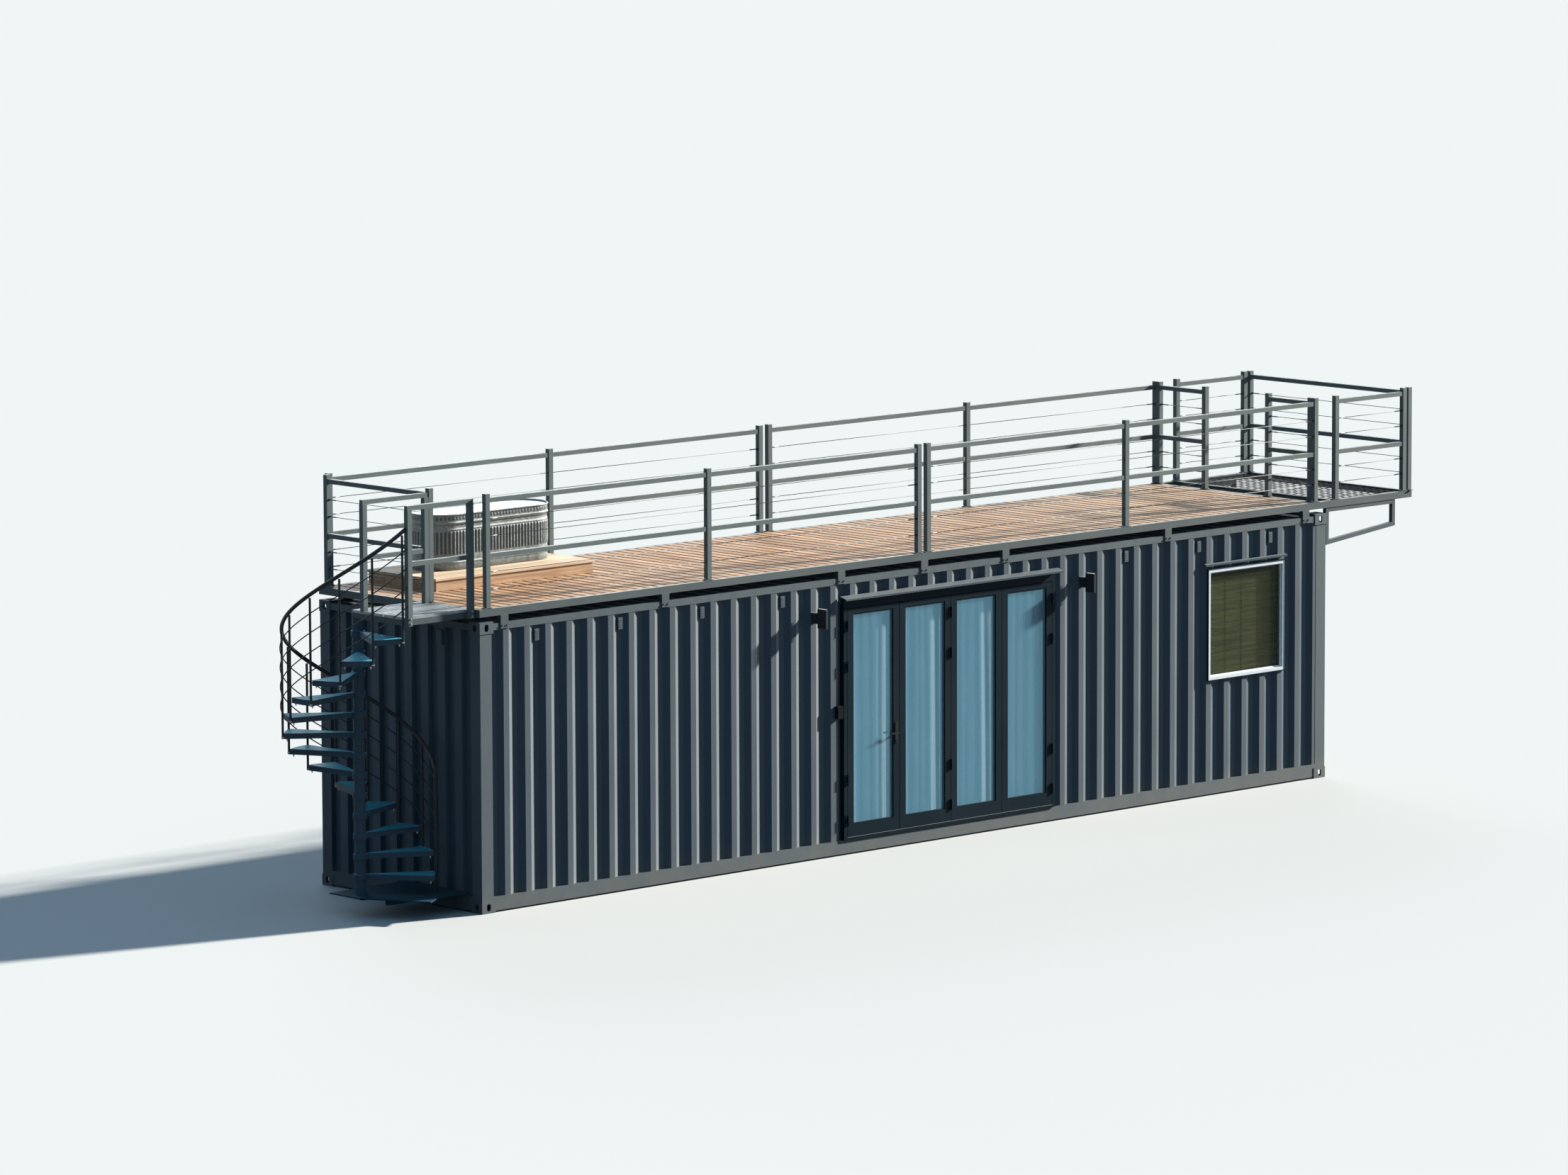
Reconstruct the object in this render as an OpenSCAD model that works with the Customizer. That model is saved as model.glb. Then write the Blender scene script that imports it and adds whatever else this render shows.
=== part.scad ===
// Forty foot high container cabin with a roof deck, an end platform and a spiral stair.
// Millimetres, +Z up. X runs along the long front wall from its left end, Y goes in from the
// front wall, Z starts on the ground under the corner castings.

/* [Container] */
// Length over the corner castings
box_l = 12192; // [12144:1:12240]
// Width over the corner castings
box_w = 2438; // [2400:1:2480]
// Height over the corner castings
box_h = 2896; // [2860:1:2940]
// Length of a corner casting
casting_l = 178; // [165:1:190]
// Width of a corner casting
casting_w = 162; // [152:1:175]
// Height of a corner casting
casting_h = 118; // [105:1:130]
// Wall of a corner casting
casting_t = 20; // [12:1:24]
// Width of the hand hole in a casting
casting_hole_w = 51; // [40:1:60]
// Length of the hand hole in a casting
casting_hole_h = 76; // [62:1:79]
// Width of the slot in the top and the bottom of a casting
casting_slot_w = 63; // [56:1:66]
// Length of the slot in the top and the bottom of a casting
casting_slot_l = 124; // [112:1:126]
// How far posts, rails and walls stand back from the castings
skin = 6; // [3:1:12]
// Face of a corner post seen on the long side
post_x = 157; // [140:1:164]
// Face of a corner post seen on the short side
post_y = 150; // [140:1:158]
// Wall of a corner post
post_t = 8; // [5:1:12]
// Height of the bottom rails over the ground
rail_z0 = 17; // [10:1:30]
// Top of the bottom rails
rail_z1 = 157; // [150:1:170]
// Flange width of the bottom rails
rail_flange = 48; // [40:1:60]
// Plate thickness of the bottom rails
rail_t = 6; // [4:1:9]
// Size of the square top rails
top_rail = 66; // [55:1:70]
// Distance of the top rails below the top of the castings
top_drop = 22; // [12:1:30]
// Wall of the square top rails
top_rail_t = 5; // [3:1:8]
// Spacing of the floor cross members
cross_pitch = 420; // [380:5:480]
// Flange width of a cross member
cross_w = 45; // [35:1:60]
// Plate thickness of a cross member
cross_t = 5; // [4:1:8]

/* [Corrugated walls] */
// Thickness of the corrugated sheet
sheet_t = 4; // [2:0.5:6]
// Stand back of the outer flats from the castings
flat_back = 8; // [7:1:14]
// Pitch of the side wall corrugation
side_pitch = 278; // [274:1:279]
// Outer flat of the side wall corrugation
side_flat = 72; // [60:1:84]
// Width of one sloping web in the side walls
side_slope = 68; // [58:1:78]
// Depth of the side wall corrugation
side_depth = 36; // [30:1:40]
// End of the first recess, next to the left post
side_recess = 243; // [236:1:250]
// Pitch of the end wall corrugation
end_pitch = 250; // [240:1:258]
// Outer flat of the end wall corrugation
end_flat = 110; // [100:1:120]
// Width of one sloping web in the end walls
end_slope = 18; // [14:1:24]
// Depth of the end wall corrugation
end_depth = 45; // [38:1:48]
// Pitch of the roof corrugation
roof_pitch = 209; // [200:1:220]
// Depth of the roof corrugation
roof_depth = 20; // [14:1:24]
// How far the crests of the roof lie under the top rails
roof_drop = 6; // [3:1:12]

/* [Floor and lining] */
// Thickness of the plywood floor
floor_t = 28; // [22:1:30]
// Distance of the lining from the outside of the castings
lining_in = 160; // [158:1:172]
// Thickness of a lining board
lining_t = 12; // [9:1:18]
// Joint between two lining boards
board_gap = 2; // [1:0.5:4]
// Underside of the ceiling below the top of the castings
ceiling_drop = 196; // [156:1:211]

/* [Door set] */
// Middle of the door opening, to the right of the middle of the container
door_shift = 366.5; // [350:0.5:380]
// Width of the door opening
door_w = 3075; // [3040:1:3100]
// Top of the door opening below the top of the castings
door_drop = 296; // [276:1:336]
// Face width of the jambs and the head
frame_face = 45; // [38:1:52]
// Height of the sill
sill_h = 25; // [18:1:32]
// How far the door frame stands out from the castings
frame_out = 14; // [10:1:20]
// Thickness of a door leaf
leaf_t = 45; // [40:1:50]
// Running gap round a door leaf
leaf_gap = 6; // [5:0.5:8]
// Gap where the entry door meets the folding leaves
meet_gap = 8; // [7.5:0.5:10]
// Stile width of a leaf
stile = 83; // [76:1:92]
// Top rail of a leaf
leaf_top = 52; // [44:1:62]
// Bottom rail of a leaf
leaf_bottom = 130; // [110:1:160]
// Thickness of the double glass units
glass_t = 24; // [18:1:26]
// Radius of a hinge barrel
barrel_r = 9; // [7:0.5:11]
// Height of a hinge
hinge_h = 112; // [90:1:120]
// Distance of the first and last hinges from the ends of a leaf
hinge_end = 115; // [90:5:140]
// Distance from the first hinge to the second, and from the third to the last
hinge_step = 424; // [390:1:450]
// Width of a hinge plate
hinge_w = 32; // [24:1:34]
// Thickness of a hinge plate
hinge_t = 3; // [2:0.5:5]
// How far a barrel is sunk into its plate
barrel_sink = 2; // [1.5:0.5:2.5]
// Radius of a hinge pin
pin_r = 4; // [3:0.5:5]
// Clearance of a hinge pin in its barrel
pin_gap = 0.3; // [0.2:0.1:0.5]
// Gap between two barrels of one hinge
barrel_gap = 1; // [0.5:0.5:2]
// Height of the door handle over the ground
handle_z = 1200; // [1100:10:1300]
// Length of the lever of the door handle
lever_l = 110; // [95:1:125]
// Height of the lever
lever_h = 18; // [14:1:22]
// Thickness of the lever
lever_t = 14; // [10:1:18]
// Distance of the lever from the leaf
lever_off = 26; // [22:1:34]
// Radius of the neck that carries the lever
handle_neck_r = 9; // [7:0.5:11]
// Width of the face plate behind the lever
handle_plate = 40; // [34:1:50]
// Height of the face plate
handle_plate_h = 220; // [180:5:260]
// Thickness of the face plate
handle_plate_t = 6; // [4:1:9]
// Distance of the curtains behind the leaves
curtain_gap = 56; // [50:1:62]
// Thickness of the folds of a curtain
curtain_t = 45; // [35:1:50]
// Hem of the curtains over the sill
curtain_up = 10; // [6:1:30]
// Size of the curtain track
track = 22; // [18:1:30]

/* [Window] */
// Right side of the window opening from the right end of the container
window_right = 653; // [635:1:670]
// Width and height of the window opening
window_s = 1211; // [1180:1:1225]
// Top of the window opening below the top of the castings
window_drop = 440; // [425:1:470]
// Width of the dark casing
casing_w = 8; // [6:1:12]
// Width of the pale window frame
sash_w = 34; // [30:1:42]
// How far the window frame stands out from the castings
sash_out = 7; // [3:1:10]
// Depth of the window frame
sash_t = 72; // [66:1:74]
// Distance of the window glass behind the face of its frame
glass_in = 40; // [30:1:44]
// Distance of the blind behind the face of the castings
blind_back = 70; // [60:1:90]
// Gap at each side of the blind
blind_side = 6; // [3:1:12]
// Hem of the blind over the bottom of the casing
blind_up = 40; // [10:1:80]
// Thickness of the woven blind
blind_t = 10; // [6:1:14]

/* [Fittings on the walls] */
// Reach of the drip cap over the doors
cap_reach = 90; // [70:1:110]
// Height of the drip cap over the door opening
cap_rise = 58; // [40:1:70]
// Thickness of the drip caps
cap_t = 4; // [3:1:6]
// Drop of the front edge of the drip caps
cap_lip = 18; // [12:1:24]
// Fall of the drip caps in degrees
cap_angle = 15; // [10:1:20]
// How far the door drip cap runs past the left side of the opening
cap_left = 30; // [20:1:45]
// How far the door drip cap runs past the right side of the opening
cap_right = 60; // [30:1:80]
// How far the window drip cap runs past the left side of the window
window_cap_left = 47; // [36:1:56]
// How far the window drip cap runs past the right side of the window
window_cap_right = 12; // [6:1:24]
// Height of the window drip cap over the window opening
cap_up = 54; // [40:1:66]
// Reach of the window drip cap
cap_out = 34; // [28:1:44]
// Width of a wall lamp
lamp_w = 27; // [22:1:34]
// Reach of a wall lamp
lamp_d = 195; // [175:1:215]
// Height of a wall lamp
lamp_h = 201; // [185:1:220]
// Centre of the wall lamps below the top of the door opening
lamp_drop = 95; // [80:1:120]
// Gap between a wall lamp and the face of the castings
lamp_gap = 67; // [55:1:80]
// Height of the foot of a wall lamp
lamp_foot_h = 109; // [90:1:125]
// Width of the foot of a wall lamp, inside a flat of the wall
lamp_foot_w = 60; // [50:1:66]
// Width of a wall vent
vent_w = 57; // [48:1:62]
// Height of a wall vent
vent_h = 117; // [100:1:130]
// Top of the wall vents below the top rail
vent_drop = 42; // [30:1:60]
// Thickness of a wall vent
vent_t = 26; // [18:1:32]
// Width of the vent on an end wall
end_vent_w = 82; // [70:1:92]
// Height of the vent on an end wall
end_vent_h = 148; // [130:1:160]
// Top of the vent on an end wall below the top rail
end_vent_drop = 32; // [24:1:50]
// Width of the key box
key_w = 72; // [60:1:78]
// Height of the key box
key_h = 130; // [110:1:150]
// Depth of the key box
key_d = 48; // [36:1:60]
// Bottom of the key box over the ground
key_z = 1430; // [1400:1:1460]
// Gap between the key box and the door opening
key_gap = 34; // [20:1:45]

/* [Roof deck] */
// Depth of the deck beams
beam_h = 75; // [65:1:90]
// Width of the deck beams and of the railing posts
beam_w = 55; // [50:1:60]
// Top of the deck over the top of the castings
deck_rise = 129; // [120:1:150]
// Overhang of the side beams past the right end
deck_over = 118; // [100:1:134]
// Thickness of the deck boards
board_t = 26; // [22:1:32]
// Number of joists along the deck
joist_count = 4; // [3:1:6]
// Width of a joist
joist_w = 40; // [32:1:50]
// Width of a standoff bracket
standoff_w = 100; // [80:1:120]
// Thickness of the lap plate of a standoff bracket
standoff_t = 8; // [5:1:10]
// How far the lap plate hangs down over the top rail
standoff_lap = 58; // [50:1:64]
// First standoff bracket from an end of the container
standoff_first = 324; // [300:1:350]
// Second standoff bracket from an end of the container
standoff_second = 2470; // [2440:1:2500]
// Standoff bracket next to the one at the middle
standoff_mid = 1186; // [1160:1:1210]

/* [Railings] */
// Height of the railing posts over the deck
rail_post_h = 1135; // [1080:5:1180]
// Top of the top rail over the deck
rail_top = 1095; // [1050:5:1110]
// Top of the middle rail over the deck
rail_mid = 546; // [500:1:580]
// Size of the square rail tubes
rail_s = 46; // [40:1:50]
// Radius of the railing cables
cable_r = 3; // [2.5:0.5:4]
// First railing post from the left end
rail_first = 120; // [112:1:130]
// Last railing post on the container from its right end
rail_last = 163; // [150:1:170]
// Distance between the two posts at the middle
post_pair = 133; // [120:1:150]
// Bays of the railing on each half of the container
rail_bays = 2; // [2:1:3]
// Lowest cable over the deck
cable_low = 190; // [150:5:220]
// Spacing of the cables
cable_step = 170; // [140:2:176]
// Far post of the left end railing from the back
end_rail_back = 86; // [70:1:110]
// Gap between the posts where two panels meet at a corner
post_gap = 2; // [1:0.5:5]
// Inner post of the short panel at the front right
short_front = 712; // [690:1:740]
// Inner post of the short panel at the back right
short_back = 780; // [740:1:880]

/* [End platform] */
// Length of the platform past the deck beams
platform_l = 1255; // [1200:5:1320]
// Gap between the deck beams' joint and the first platform posts
platform_post = 22; // [10:1:40]
// Gap between the last side post and the post at the platform corner
joint_gap = 35; // [20:1:50]
// Gap between the end panel of the platform and its side beams' outer faces
panel_gap = 6; // [2:1:12]
// Mesh of the platform net
net_mesh = 100; // [80:5:130]
// Thickness of the net cords
net_t = 6; // [4:1:8]
// Underside of the net below the top of the beams
net_drop = 20; // [12:1:40]
// Size of the bracket tubes
truss_s = 46; // [40:1:50]
// Reach of the brackets from the container end
truss_l = 1110; // [1000:5:1150]
// Height of a bracket at the container
truss_h = 405; // [360:5:440]
// Height of a bracket at its outer end
truss_tip = 289; // [250:1:320]

/* [Landing and spiral stair] */
// Length of the landing
landing_l = 855; // [830:1:880]
// Front edge of the landing frame
landing_y0 = 125; // [120:1:135]
// Back edge of the landing frame
landing_y1 = 930; // [925:1:950]
// Depth of the landing frame
landing_h = 60; // [50:1:75]
// Front of the landing posts at the back
landing_rail_y = 741; // [730:1:744]
// Gap between the landing posts and the container end
landing_post_gap = 5; // [2:1:12]
// Distance of the stair column from the container end
column_x = 836; // [830:1:845]
// Distance of the stair column from the front
column_y = 855; // [848:1:862]
// Radius of the stair column
column_r = 56; // [45:1:60]
// Wall of the stair column
column_t = 6; // [4:1:8]
// Radius of the stair
tread_r = 735; // [720:1:750]
// Height of the stair foot plate over the ground
foot_z = 204; // [190:1:220]
// Thickness of the stair foot plate
foot_t = 12; // [8:1:16]
// Front edge of the foot plate next to the container
foot_front = 190; // [160:5:220]
// Distance from the container end at which the front edge turns out
foot_turn = 390; // [360:5:420]
// Distance of the nose of the foot plate from the container end
foot_nose_x = 640; // [600:5:680]
// Distance of the nose of the foot plate from the front
foot_nose_y = 30; // [10:5:60]
// How far the foot plate reaches past the column to the left
foot_left = 174; // [150:1:200]
// Cut of the left corner of the foot plate in front of the column
foot_cut = 157; // [130:1:190]
// How far the foot plate reaches past the column to the back
foot_back = 273; // [240:1:300]
// Width of the arms that carry the foot plate
foot_arm = 60; // [50:1:80]
// Distance from arm to arm
foot_arm_step = 400; // [360:5:440]
// How far the arms lap the bottom rail
foot_lap = 15; // [10:1:30]
// Number of treads
tread_count = 13; // [12:1:14]
// Direction of the first tread
tread_first = -42.5; // [-48:0.5:-40]
// Direction of the last tread
tread_last = 253.9; // [250:0.1:254.5]
// Angle of one tread
tread_angle = 25; // [23:0.5:27]
// Depth of a tread pan
tread_h = 55; // [45:1:65]
// Plate thickness of a tread
tread_t = 5; // [3:0.5:8]
// Wall of the collar of a tread round the column
collar_t = 14; // [10:1:18]
// Radius of a baluster
baluster_r = 12; // [9:0.5:14]
// Radius of the newel post
newel_r = 20; // [16:0.5:22]
// Height of the handrail centre over the line of the treads
handrail_h = 948; // [900:1:980]
// Radius of the handrail
handrail_r = 20; // [17:0.5:22]
// Start of the handrail before the newel post in degrees
rail_before = 3; // [2:0.5:6]
// Radius of the infill rods
rod_r = 6; // [5:0.5:7]
// Number of infill rods
rod_count = 4; // [3:1:5]
// Clearance between pieces that seat on each other
seat_gap = 0.3; // [0.1:0.1:0.5]

/* [Tub] */
// Length of the tub
tub_l = 1676; // [1630:2:1720]
// Width of the tub
tub_w = 610; // [580:2:640]
// Height of the tub
tub_h = 570; // [540:2:600]
// Wall of the tub
tub_t = 4; // [3:0.5:6]
// Room on the plinth left of the tub
tub_left = 307; // [260:1:340]
// Room on the plinth behind the tub
tub_back = 106; // [80:1:130]
// Spacing of the upright ribs of the tub
rib_pitch = 41; // [38:1:46]
// Radius of an upright rib
rib_r = 7; // [5:0.5:9]
// Reach of the rolled rim
rim_out = 12; // [9:1:14]
// Height of the rolled rim
rim_h = 16; // [12:1:20]
// Height of the beads
bead_h = 24; // [18:1:30]
// Bottom of the upper bead over the plinth
bead_top = 466; // [450:1:490]
// Bottom of the lower bead over the plinth
bead_low = 68; // [40:1:100]
// Bottom of the ribs over the plinth
rib_z0 = 165; // [140:1:190]
// Top of the ribs over the plinth
rib_z1 = 391; // [370:1:410]
// Inside floor of the tub over the plinth
tub_floor = 20; // [8:1:30]
// Left side of the plinth
plinth_x = 555; // [520:1:600]
// Length of the plinth
plinth_l = 2130; // [2080:1:2200]
// Depth of the plinth
plinth_w = 1066; // [1040:1:1080]
// Room on the deck behind the plinth
plinth_back = 82; // [70:1:95]
// Height of the plinth over the deck
plinth_h = 130; // [115:1:145]
// Thickness of the plinth boards
plinth_t = 26; // [22:1:32]
// Overhang of the plinth boards
plinth_over = 15; // [8:1:22]
// Thickness of the timbers under the plinth
timber = 38; // [34:1:45]

/* [Hidden] */
$fn = 48;
eps = 1;

// Derived places of the container
top_z = box_h - top_drop;
top_rail_z = top_z - top_rail;
floor_z = rail_z1;
in_y = flat_back + side_depth;
side_x0 = side_recess + side_slope;
side_count = floor((box_l - side_x0 - post_x) / side_pitch);
side_flat_in = side_pitch - side_flat - 2 * side_slope;
end_flat_in = end_pitch - end_flat - 2 * end_slope;
end_count = floor((box_w - 2 * post_y) / end_pitch);
roof_flat = (roof_pitch - 2 * roof_depth) / 2;
lining_y = lining_in + lining_t;
ceiling_z = box_h - ceiling_drop;

// Derived places of the doors
door_top = box_h - door_drop;
door_x = box_l / 2 + door_shift - door_w / 2;
door_x1 = door_x + door_w;
leaf_z0 = floor_z + sill_h + leaf_gap;
leaf_z1 = door_top - frame_face - leaf_gap;
leaf_y0 = -frame_out;
leaf_y1 = leaf_y0 + leaf_t;
leaves_x0 = door_x + frame_face + leaf_gap;
leaves_x1 = door_x1 - frame_face - leaf_gap;
leaf_w = (leaves_x1 - leaves_x0 - meet_gap - 2 * leaf_gap) / 4;
function leaf_x(i) = leaves_x0 + i * leaf_w + (i > 0 ? meet_gap + (i - 1) * leaf_gap : 0);
hinge_zs = [for (k = [0, 1]) each [leaf_z0 + hinge_end + k * hinge_step,
    leaf_z1 - hinge_end - hinge_h - k * hinge_step]];
pivot_x = leaves_x0 - leaf_gap / 2;
pivot_y = leaf_y0 - hinge_t - barrel_r + barrel_sink;

// Derived places of the window
window_x = box_l - window_right - window_s;
window_z = box_h - window_drop - window_s;

// Derived places of the deck
deck_z = box_h + deck_rise;
beam_z = deck_z - beam_h;
deck_x1 = box_l + deck_over;
end_post_x = box_l - rail_last;
end_beam_x = end_post_x - beam_w / 2;
platform_x1 = deck_x1 + platform_l;
standoff_xs = [standoff_first, standoff_second, box_l / 2 - standoff_mid, box_l / 2,
    box_l / 2 + standoff_mid, box_l - standoff_second, box_l - standoff_first];
half_rail = (box_l - post_pair) / 2;
posts_left = [for (i = [0:rail_bays]) rail_first + i * (half_rail - rail_first) / rail_bays];
posts_right = [for (i = [0:rail_bays]) end_post_x - i * (half_rail - rail_last) / rail_bays];
cable_zs = [for (z = [cable_low, rail_mid + cable_step], k = [0, 1]) z + k * cable_step];

// Derived places of the tub
plinth_y = box_w - plinth_back - plinth_w;
tub_x = plinth_x + tub_left + tub_l / 2;
tub_y = plinth_y + plinth_w - tub_back - tub_w / 2;

// Derived places of the stair
front_way = 270;
rise = (deck_z - foot_z) / (tread_count + 1);
landing_z = deck_z - board_t;
tread_step = (tread_last - tread_first) / (tread_count - 1);
baluster_line = tread_r + seat_gap + baluster_r;
newel_line = tread_r + seat_gap + newel_r;
rod_line = baluster_line + baluster_r + seat_gap + rod_r;
baluster_turn = tread_angle / 2 - asin(baluster_r / baluster_line);
rail_start = tread_first + baluster_turn - rail_before;
rail_end = front_way - asin((landing_l - column_x + seat_gap) / (baluster_line - handrail_r));
rod_start = tread_first + baluster_turn + asin((newel_r + seat_gap) / rod_line);
rod_end = front_way - asin((landing_l - column_x + seat_gap) / (rod_line - rod_r));
function slope_at(line) = atan(rise / (line * tread_step * PI / 180));

// A box given by its two far corners
module box(a, b) {
    translate(a) cube(b - a);
}

// The same thing at all four corners of the container
module at_corners() {
    for (right = [0, 1], back = [0, 1])
        translate([right * box_l, back * box_w, 0])
            mirror([right, 0, 0])
                mirror([0, back, 0])
                    children();
}

// The same thing at the front and, mirrored, at the back
module front_and_back() {
    for (back = [0, 1])
        translate([0, back * box_w, 0])
            mirror([0, back, 0])
                children();
}

// The same thing at the left end and, mirrored, at the right end
module both_ends() {
    for (right = [0, 1])
        translate([right * box_l, 0, 0])
            mirror([right, 0, 0])
                children();
}

// A hole with round ends, w wide and h long
module oval(w, h) {
    square([w, h - w], center = true);
    for (s = [-1, 1])
        translate([0, s * (h - w) / 2])
            circle(d = w);
}

// A rectangle with round short ends, as a stock tank has
module oblong(l, w) {
    square([l - w, w], center = true);
    for (s = [-1, 1])
        translate([s * (l - w) / 2, 0])
            circle(d = w, $fn = 96);
}

// Room that the castings take, cut out of what runs past them
module casting_room() {
    at_corners()
        for (z = [-eps, box_h - casting_h])
            translate([-eps, -eps, z])
                cube([casting_l + eps, casting_w + eps, casting_h + eps]);
}

module casting() {
    difference() {
        cube([casting_l, casting_w, casting_h]);
        translate([casting_t, casting_t, casting_t])
            cube([casting_l, casting_w, casting_h] - 2 * casting_t * [1, 1, 1]);
        translate([casting_l / 2, casting_t + eps, casting_h / 2])
            rotate([90, 0, 0])
                linear_extrude(casting_t + 2 * eps)
                    oval(casting_hole_w, casting_hole_h);
        translate([-eps, casting_w / 2, casting_h / 2])
            rotate([90, 0, 90])
                linear_extrude(casting_t + 2 * eps)
                    oval(casting_hole_w, casting_hole_h);
        translate([casting_l / 2, casting_w / 2, -eps])
            rotate(90)
                linear_extrude(casting_t + 2 * eps)
                    oval(casting_slot_w, casting_slot_l);
    }
}

module corner_castings() {
    color("#46525b")
        at_corners() {
            casting();
            translate([0, 0, box_h])
                mirror([0, 0, 1])
                    casting();
        }
}

module corner_posts() {
    color("#3d4a54")
        at_corners()
            difference() {
                box([skin, skin, casting_h], [post_x, post_y, box_h - casting_h]);
                box([skin + post_t, skin + post_t, casting_h - eps],
                    [post_x - post_t, post_y - post_t, box_h - casting_h + eps]);
            }
}

// A channel of length l lying along X with its web at the front
module bottom_rail(l) {
    difference() {
        box([0, 0, rail_z0], [l, rail_flange, rail_z1]);
        box([-eps, rail_t, rail_z0 + rail_t], [l + eps, rail_flange + eps, rail_z1 - rail_t]);
    }
}

// A square tube of length l lying along X
module tube_x(l, s, t) {
    difference() {
        cube([l, s, s]);
        translate([-eps, t, t]) cube([l + 2 * eps, s - 2 * t, s - 2 * t]);
    }
}

module frame_rails() {
    color("#3d4a54")
        difference() {
            union() {
                front_and_back() {
                    translate([post_x, skin, 0])
                        bottom_rail(box_l - 2 * post_x);
                    translate([casting_l, skin, top_rail_z])
                        tube_x(box_l - 2 * casting_l, top_rail, top_rail_t);
                }
                both_ends() {
                    translate([skin, box_w - post_y, 0])
                        rotate(-90)
                            bottom_rail(box_w - 2 * post_y);
                    translate([skin, box_w - casting_w, top_rail_z])
                        rotate(-90)
                            tube_x(box_w - 2 * casting_w, top_rail, top_rail_t);
                }
            }
            casting_room();
        }
}

module cross_member() {
    difference() {
        box([0, skin + rail_flange, rail_z0], [cross_w, box_w - skin - rail_flange, floor_z - floor_t]);
        box([cross_t, 0, rail_z0 + cross_t], [cross_w + eps, box_w, floor_z - floor_t - cross_t]);
    }
}

module cross_members() {
    count = floor((box_l - 2 * casting_l) / cross_pitch);
    color("#2c343a")
        for (i = [0:count])
            translate([(box_l - count * cross_pitch - cross_w) / 2 + i * cross_pitch, 0, 0])
                cross_member();
}

function reversed(a) = [for (i = [len(a) - 1:-1:0]) a[i]];

// One line of the side wall section, moved back by off
function side_line(off) = concat(
    [[post_x, in_y + off], [side_recess, in_y + off]],
    [for (k = [0:side_count - 1], p = [[0, flat_back], [side_flat, flat_back],
        [side_flat + side_slope, in_y], [side_flat + side_slope + side_flat_in, in_y]])
        [side_x0 + k * side_pitch + p[0], p[1] + off]],
    [[side_x0 + side_count * side_pitch, flat_back + off], [box_l - post_x, flat_back + off]]);

module side_sheet(z0, z1) {
    translate([0, 0, z0])
        linear_extrude(z1 - z0)
            polygon(concat(side_line(0), reversed(side_line(sheet_t))));
}

// A stretch of the side wall from x0 to x1, clear of the castings
module side_part(x0, x1, z0) {
    difference() {
        intersection() {
            side_sheet(z0, top_rail_z);
            box([x0, 0, 0], [x1, casting_w, box_h]);
        }
        casting_room();
    }
}

// Room of the window through the front wall
module window_room() {
    box([window_x, -eps - frame_out, window_z], [window_x + window_s, lining_y + eps, window_z + window_s]);
}

module front_wall_left() {
    color("#1f2f3b")
        side_part(0, door_x, rail_z1);
}

module front_wall_over_doors() {
    color("#1f2f3b")
        side_part(door_x, door_x1, door_top);
}

module front_wall_right() {
    color("#1f2f3b")
        difference() {
            side_part(door_x1, box_l, rail_z1);
            window_room();
        }
}

module back_wall() {
    color("#1f2f3b")
        translate([0, box_w, 0])
            mirror([0, 1, 0])
                side_part(0, box_l, rail_z1);
}

end_margin = (box_w - 2 * post_y - end_count * end_pitch + end_flat_in) / 2;
function end_line(off) = concat(
    [[flat_back + end_depth + off, post_y]],
    [for (k = [0:end_count - 1], p = [[0, end_depth], [end_slope, 0], [end_slope + end_flat, 0],
        [2 * end_slope + end_flat, end_depth]])
        [flat_back + p[1] + off, post_y + end_margin + k * end_pitch + p[0]]],
    [[flat_back + end_depth + off, box_w - post_y]]);

module end_walls() {
    color("#1b2a35")
        both_ends()
            difference() {
                translate([0, 0, rail_z1])
                    linear_extrude(top_rail_z - rail_z1)
                        polygon(concat(end_line(0), reversed(end_line(sheet_t))));
                casting_room();
            }
}

roof_count = floor((box_l - 2 * (skin + top_rail)) / roof_pitch);
roof_x0 = skin + top_rail;
roof_rest = (box_l - 2 * roof_x0 - roof_count * roof_pitch) / 2;
roof_z = top_z - roof_depth - sheet_t - roof_drop;
function roof_line(off) = concat(
    [[roof_x0, roof_z + off]],
    [for (k = [0:roof_count - 1], p = [[0, 0], [roof_depth, roof_depth],
        [roof_depth + roof_flat, roof_depth], [2 * roof_depth + roof_flat, 0]])
        [roof_x0 + roof_rest + k * roof_pitch + p[0], roof_z + off + p[1]]],
    [[box_l - roof_x0, roof_z + off]]);

module roof_panel() {
    color("#4b565e")
        difference() {
            translate([0, box_w - skin - top_rail, 0])
                rotate([90, 0, 0])
                    linear_extrude(box_w - 2 * (skin + top_rail))
                        polygon(concat(roof_line(0), reversed(roof_line(sheet_t))));
            casting_room();
        }
}

module floor_sheet() {
    color("#a98b62")
        difference() {
            box([skin + rail_flange, skin + rail_flange, floor_z - floor_t],
                [box_l - skin - rail_flange, box_w - skin - rail_flange, floor_z]);
            at_corners()
                box([0, 0, 0], [post_x, post_y, box_h]);
        }
}

module wall_lining() {
    color("#d9d3c5") {
        box([lining_in, lining_in, floor_z], [door_x, lining_y, ceiling_z]);
        box([door_x + board_gap, lining_in, door_top],
            [door_x1 - board_gap, lining_y, ceiling_z]);
        difference() {
            box([door_x1, lining_in, floor_z], [box_l - lining_in, lining_y, ceiling_z]);
            window_room();
        }
        box([lining_in, box_w - lining_y, floor_z],
            [box_l - lining_in, box_w - lining_in, ceiling_z]);
        both_ends()
            box([lining_in, lining_y + board_gap, floor_z],
                [lining_y, box_w - lining_y - board_gap, ceiling_z]);
    }
}

module ceiling() {
    color("#e6e2d8")
        box([lining_in, lining_in, ceiling_z],
            [box_l - lining_in, box_w - lining_in, ceiling_z + lining_t]);
}

module door_frame() {
    color("#2a2724") {
        difference() {
            box([door_x, -frame_out, floor_z], [door_x1, lining_y, door_top]);
            box([door_x + frame_face, -frame_out - eps, floor_z + sill_h],
                [door_x1 - frame_face, lining_y + eps, door_top - frame_face]);
        }
        box([door_x, -frame_out, door_top], [door_x1, flat_back, door_top + cap_rise]);
    }
}

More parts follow.
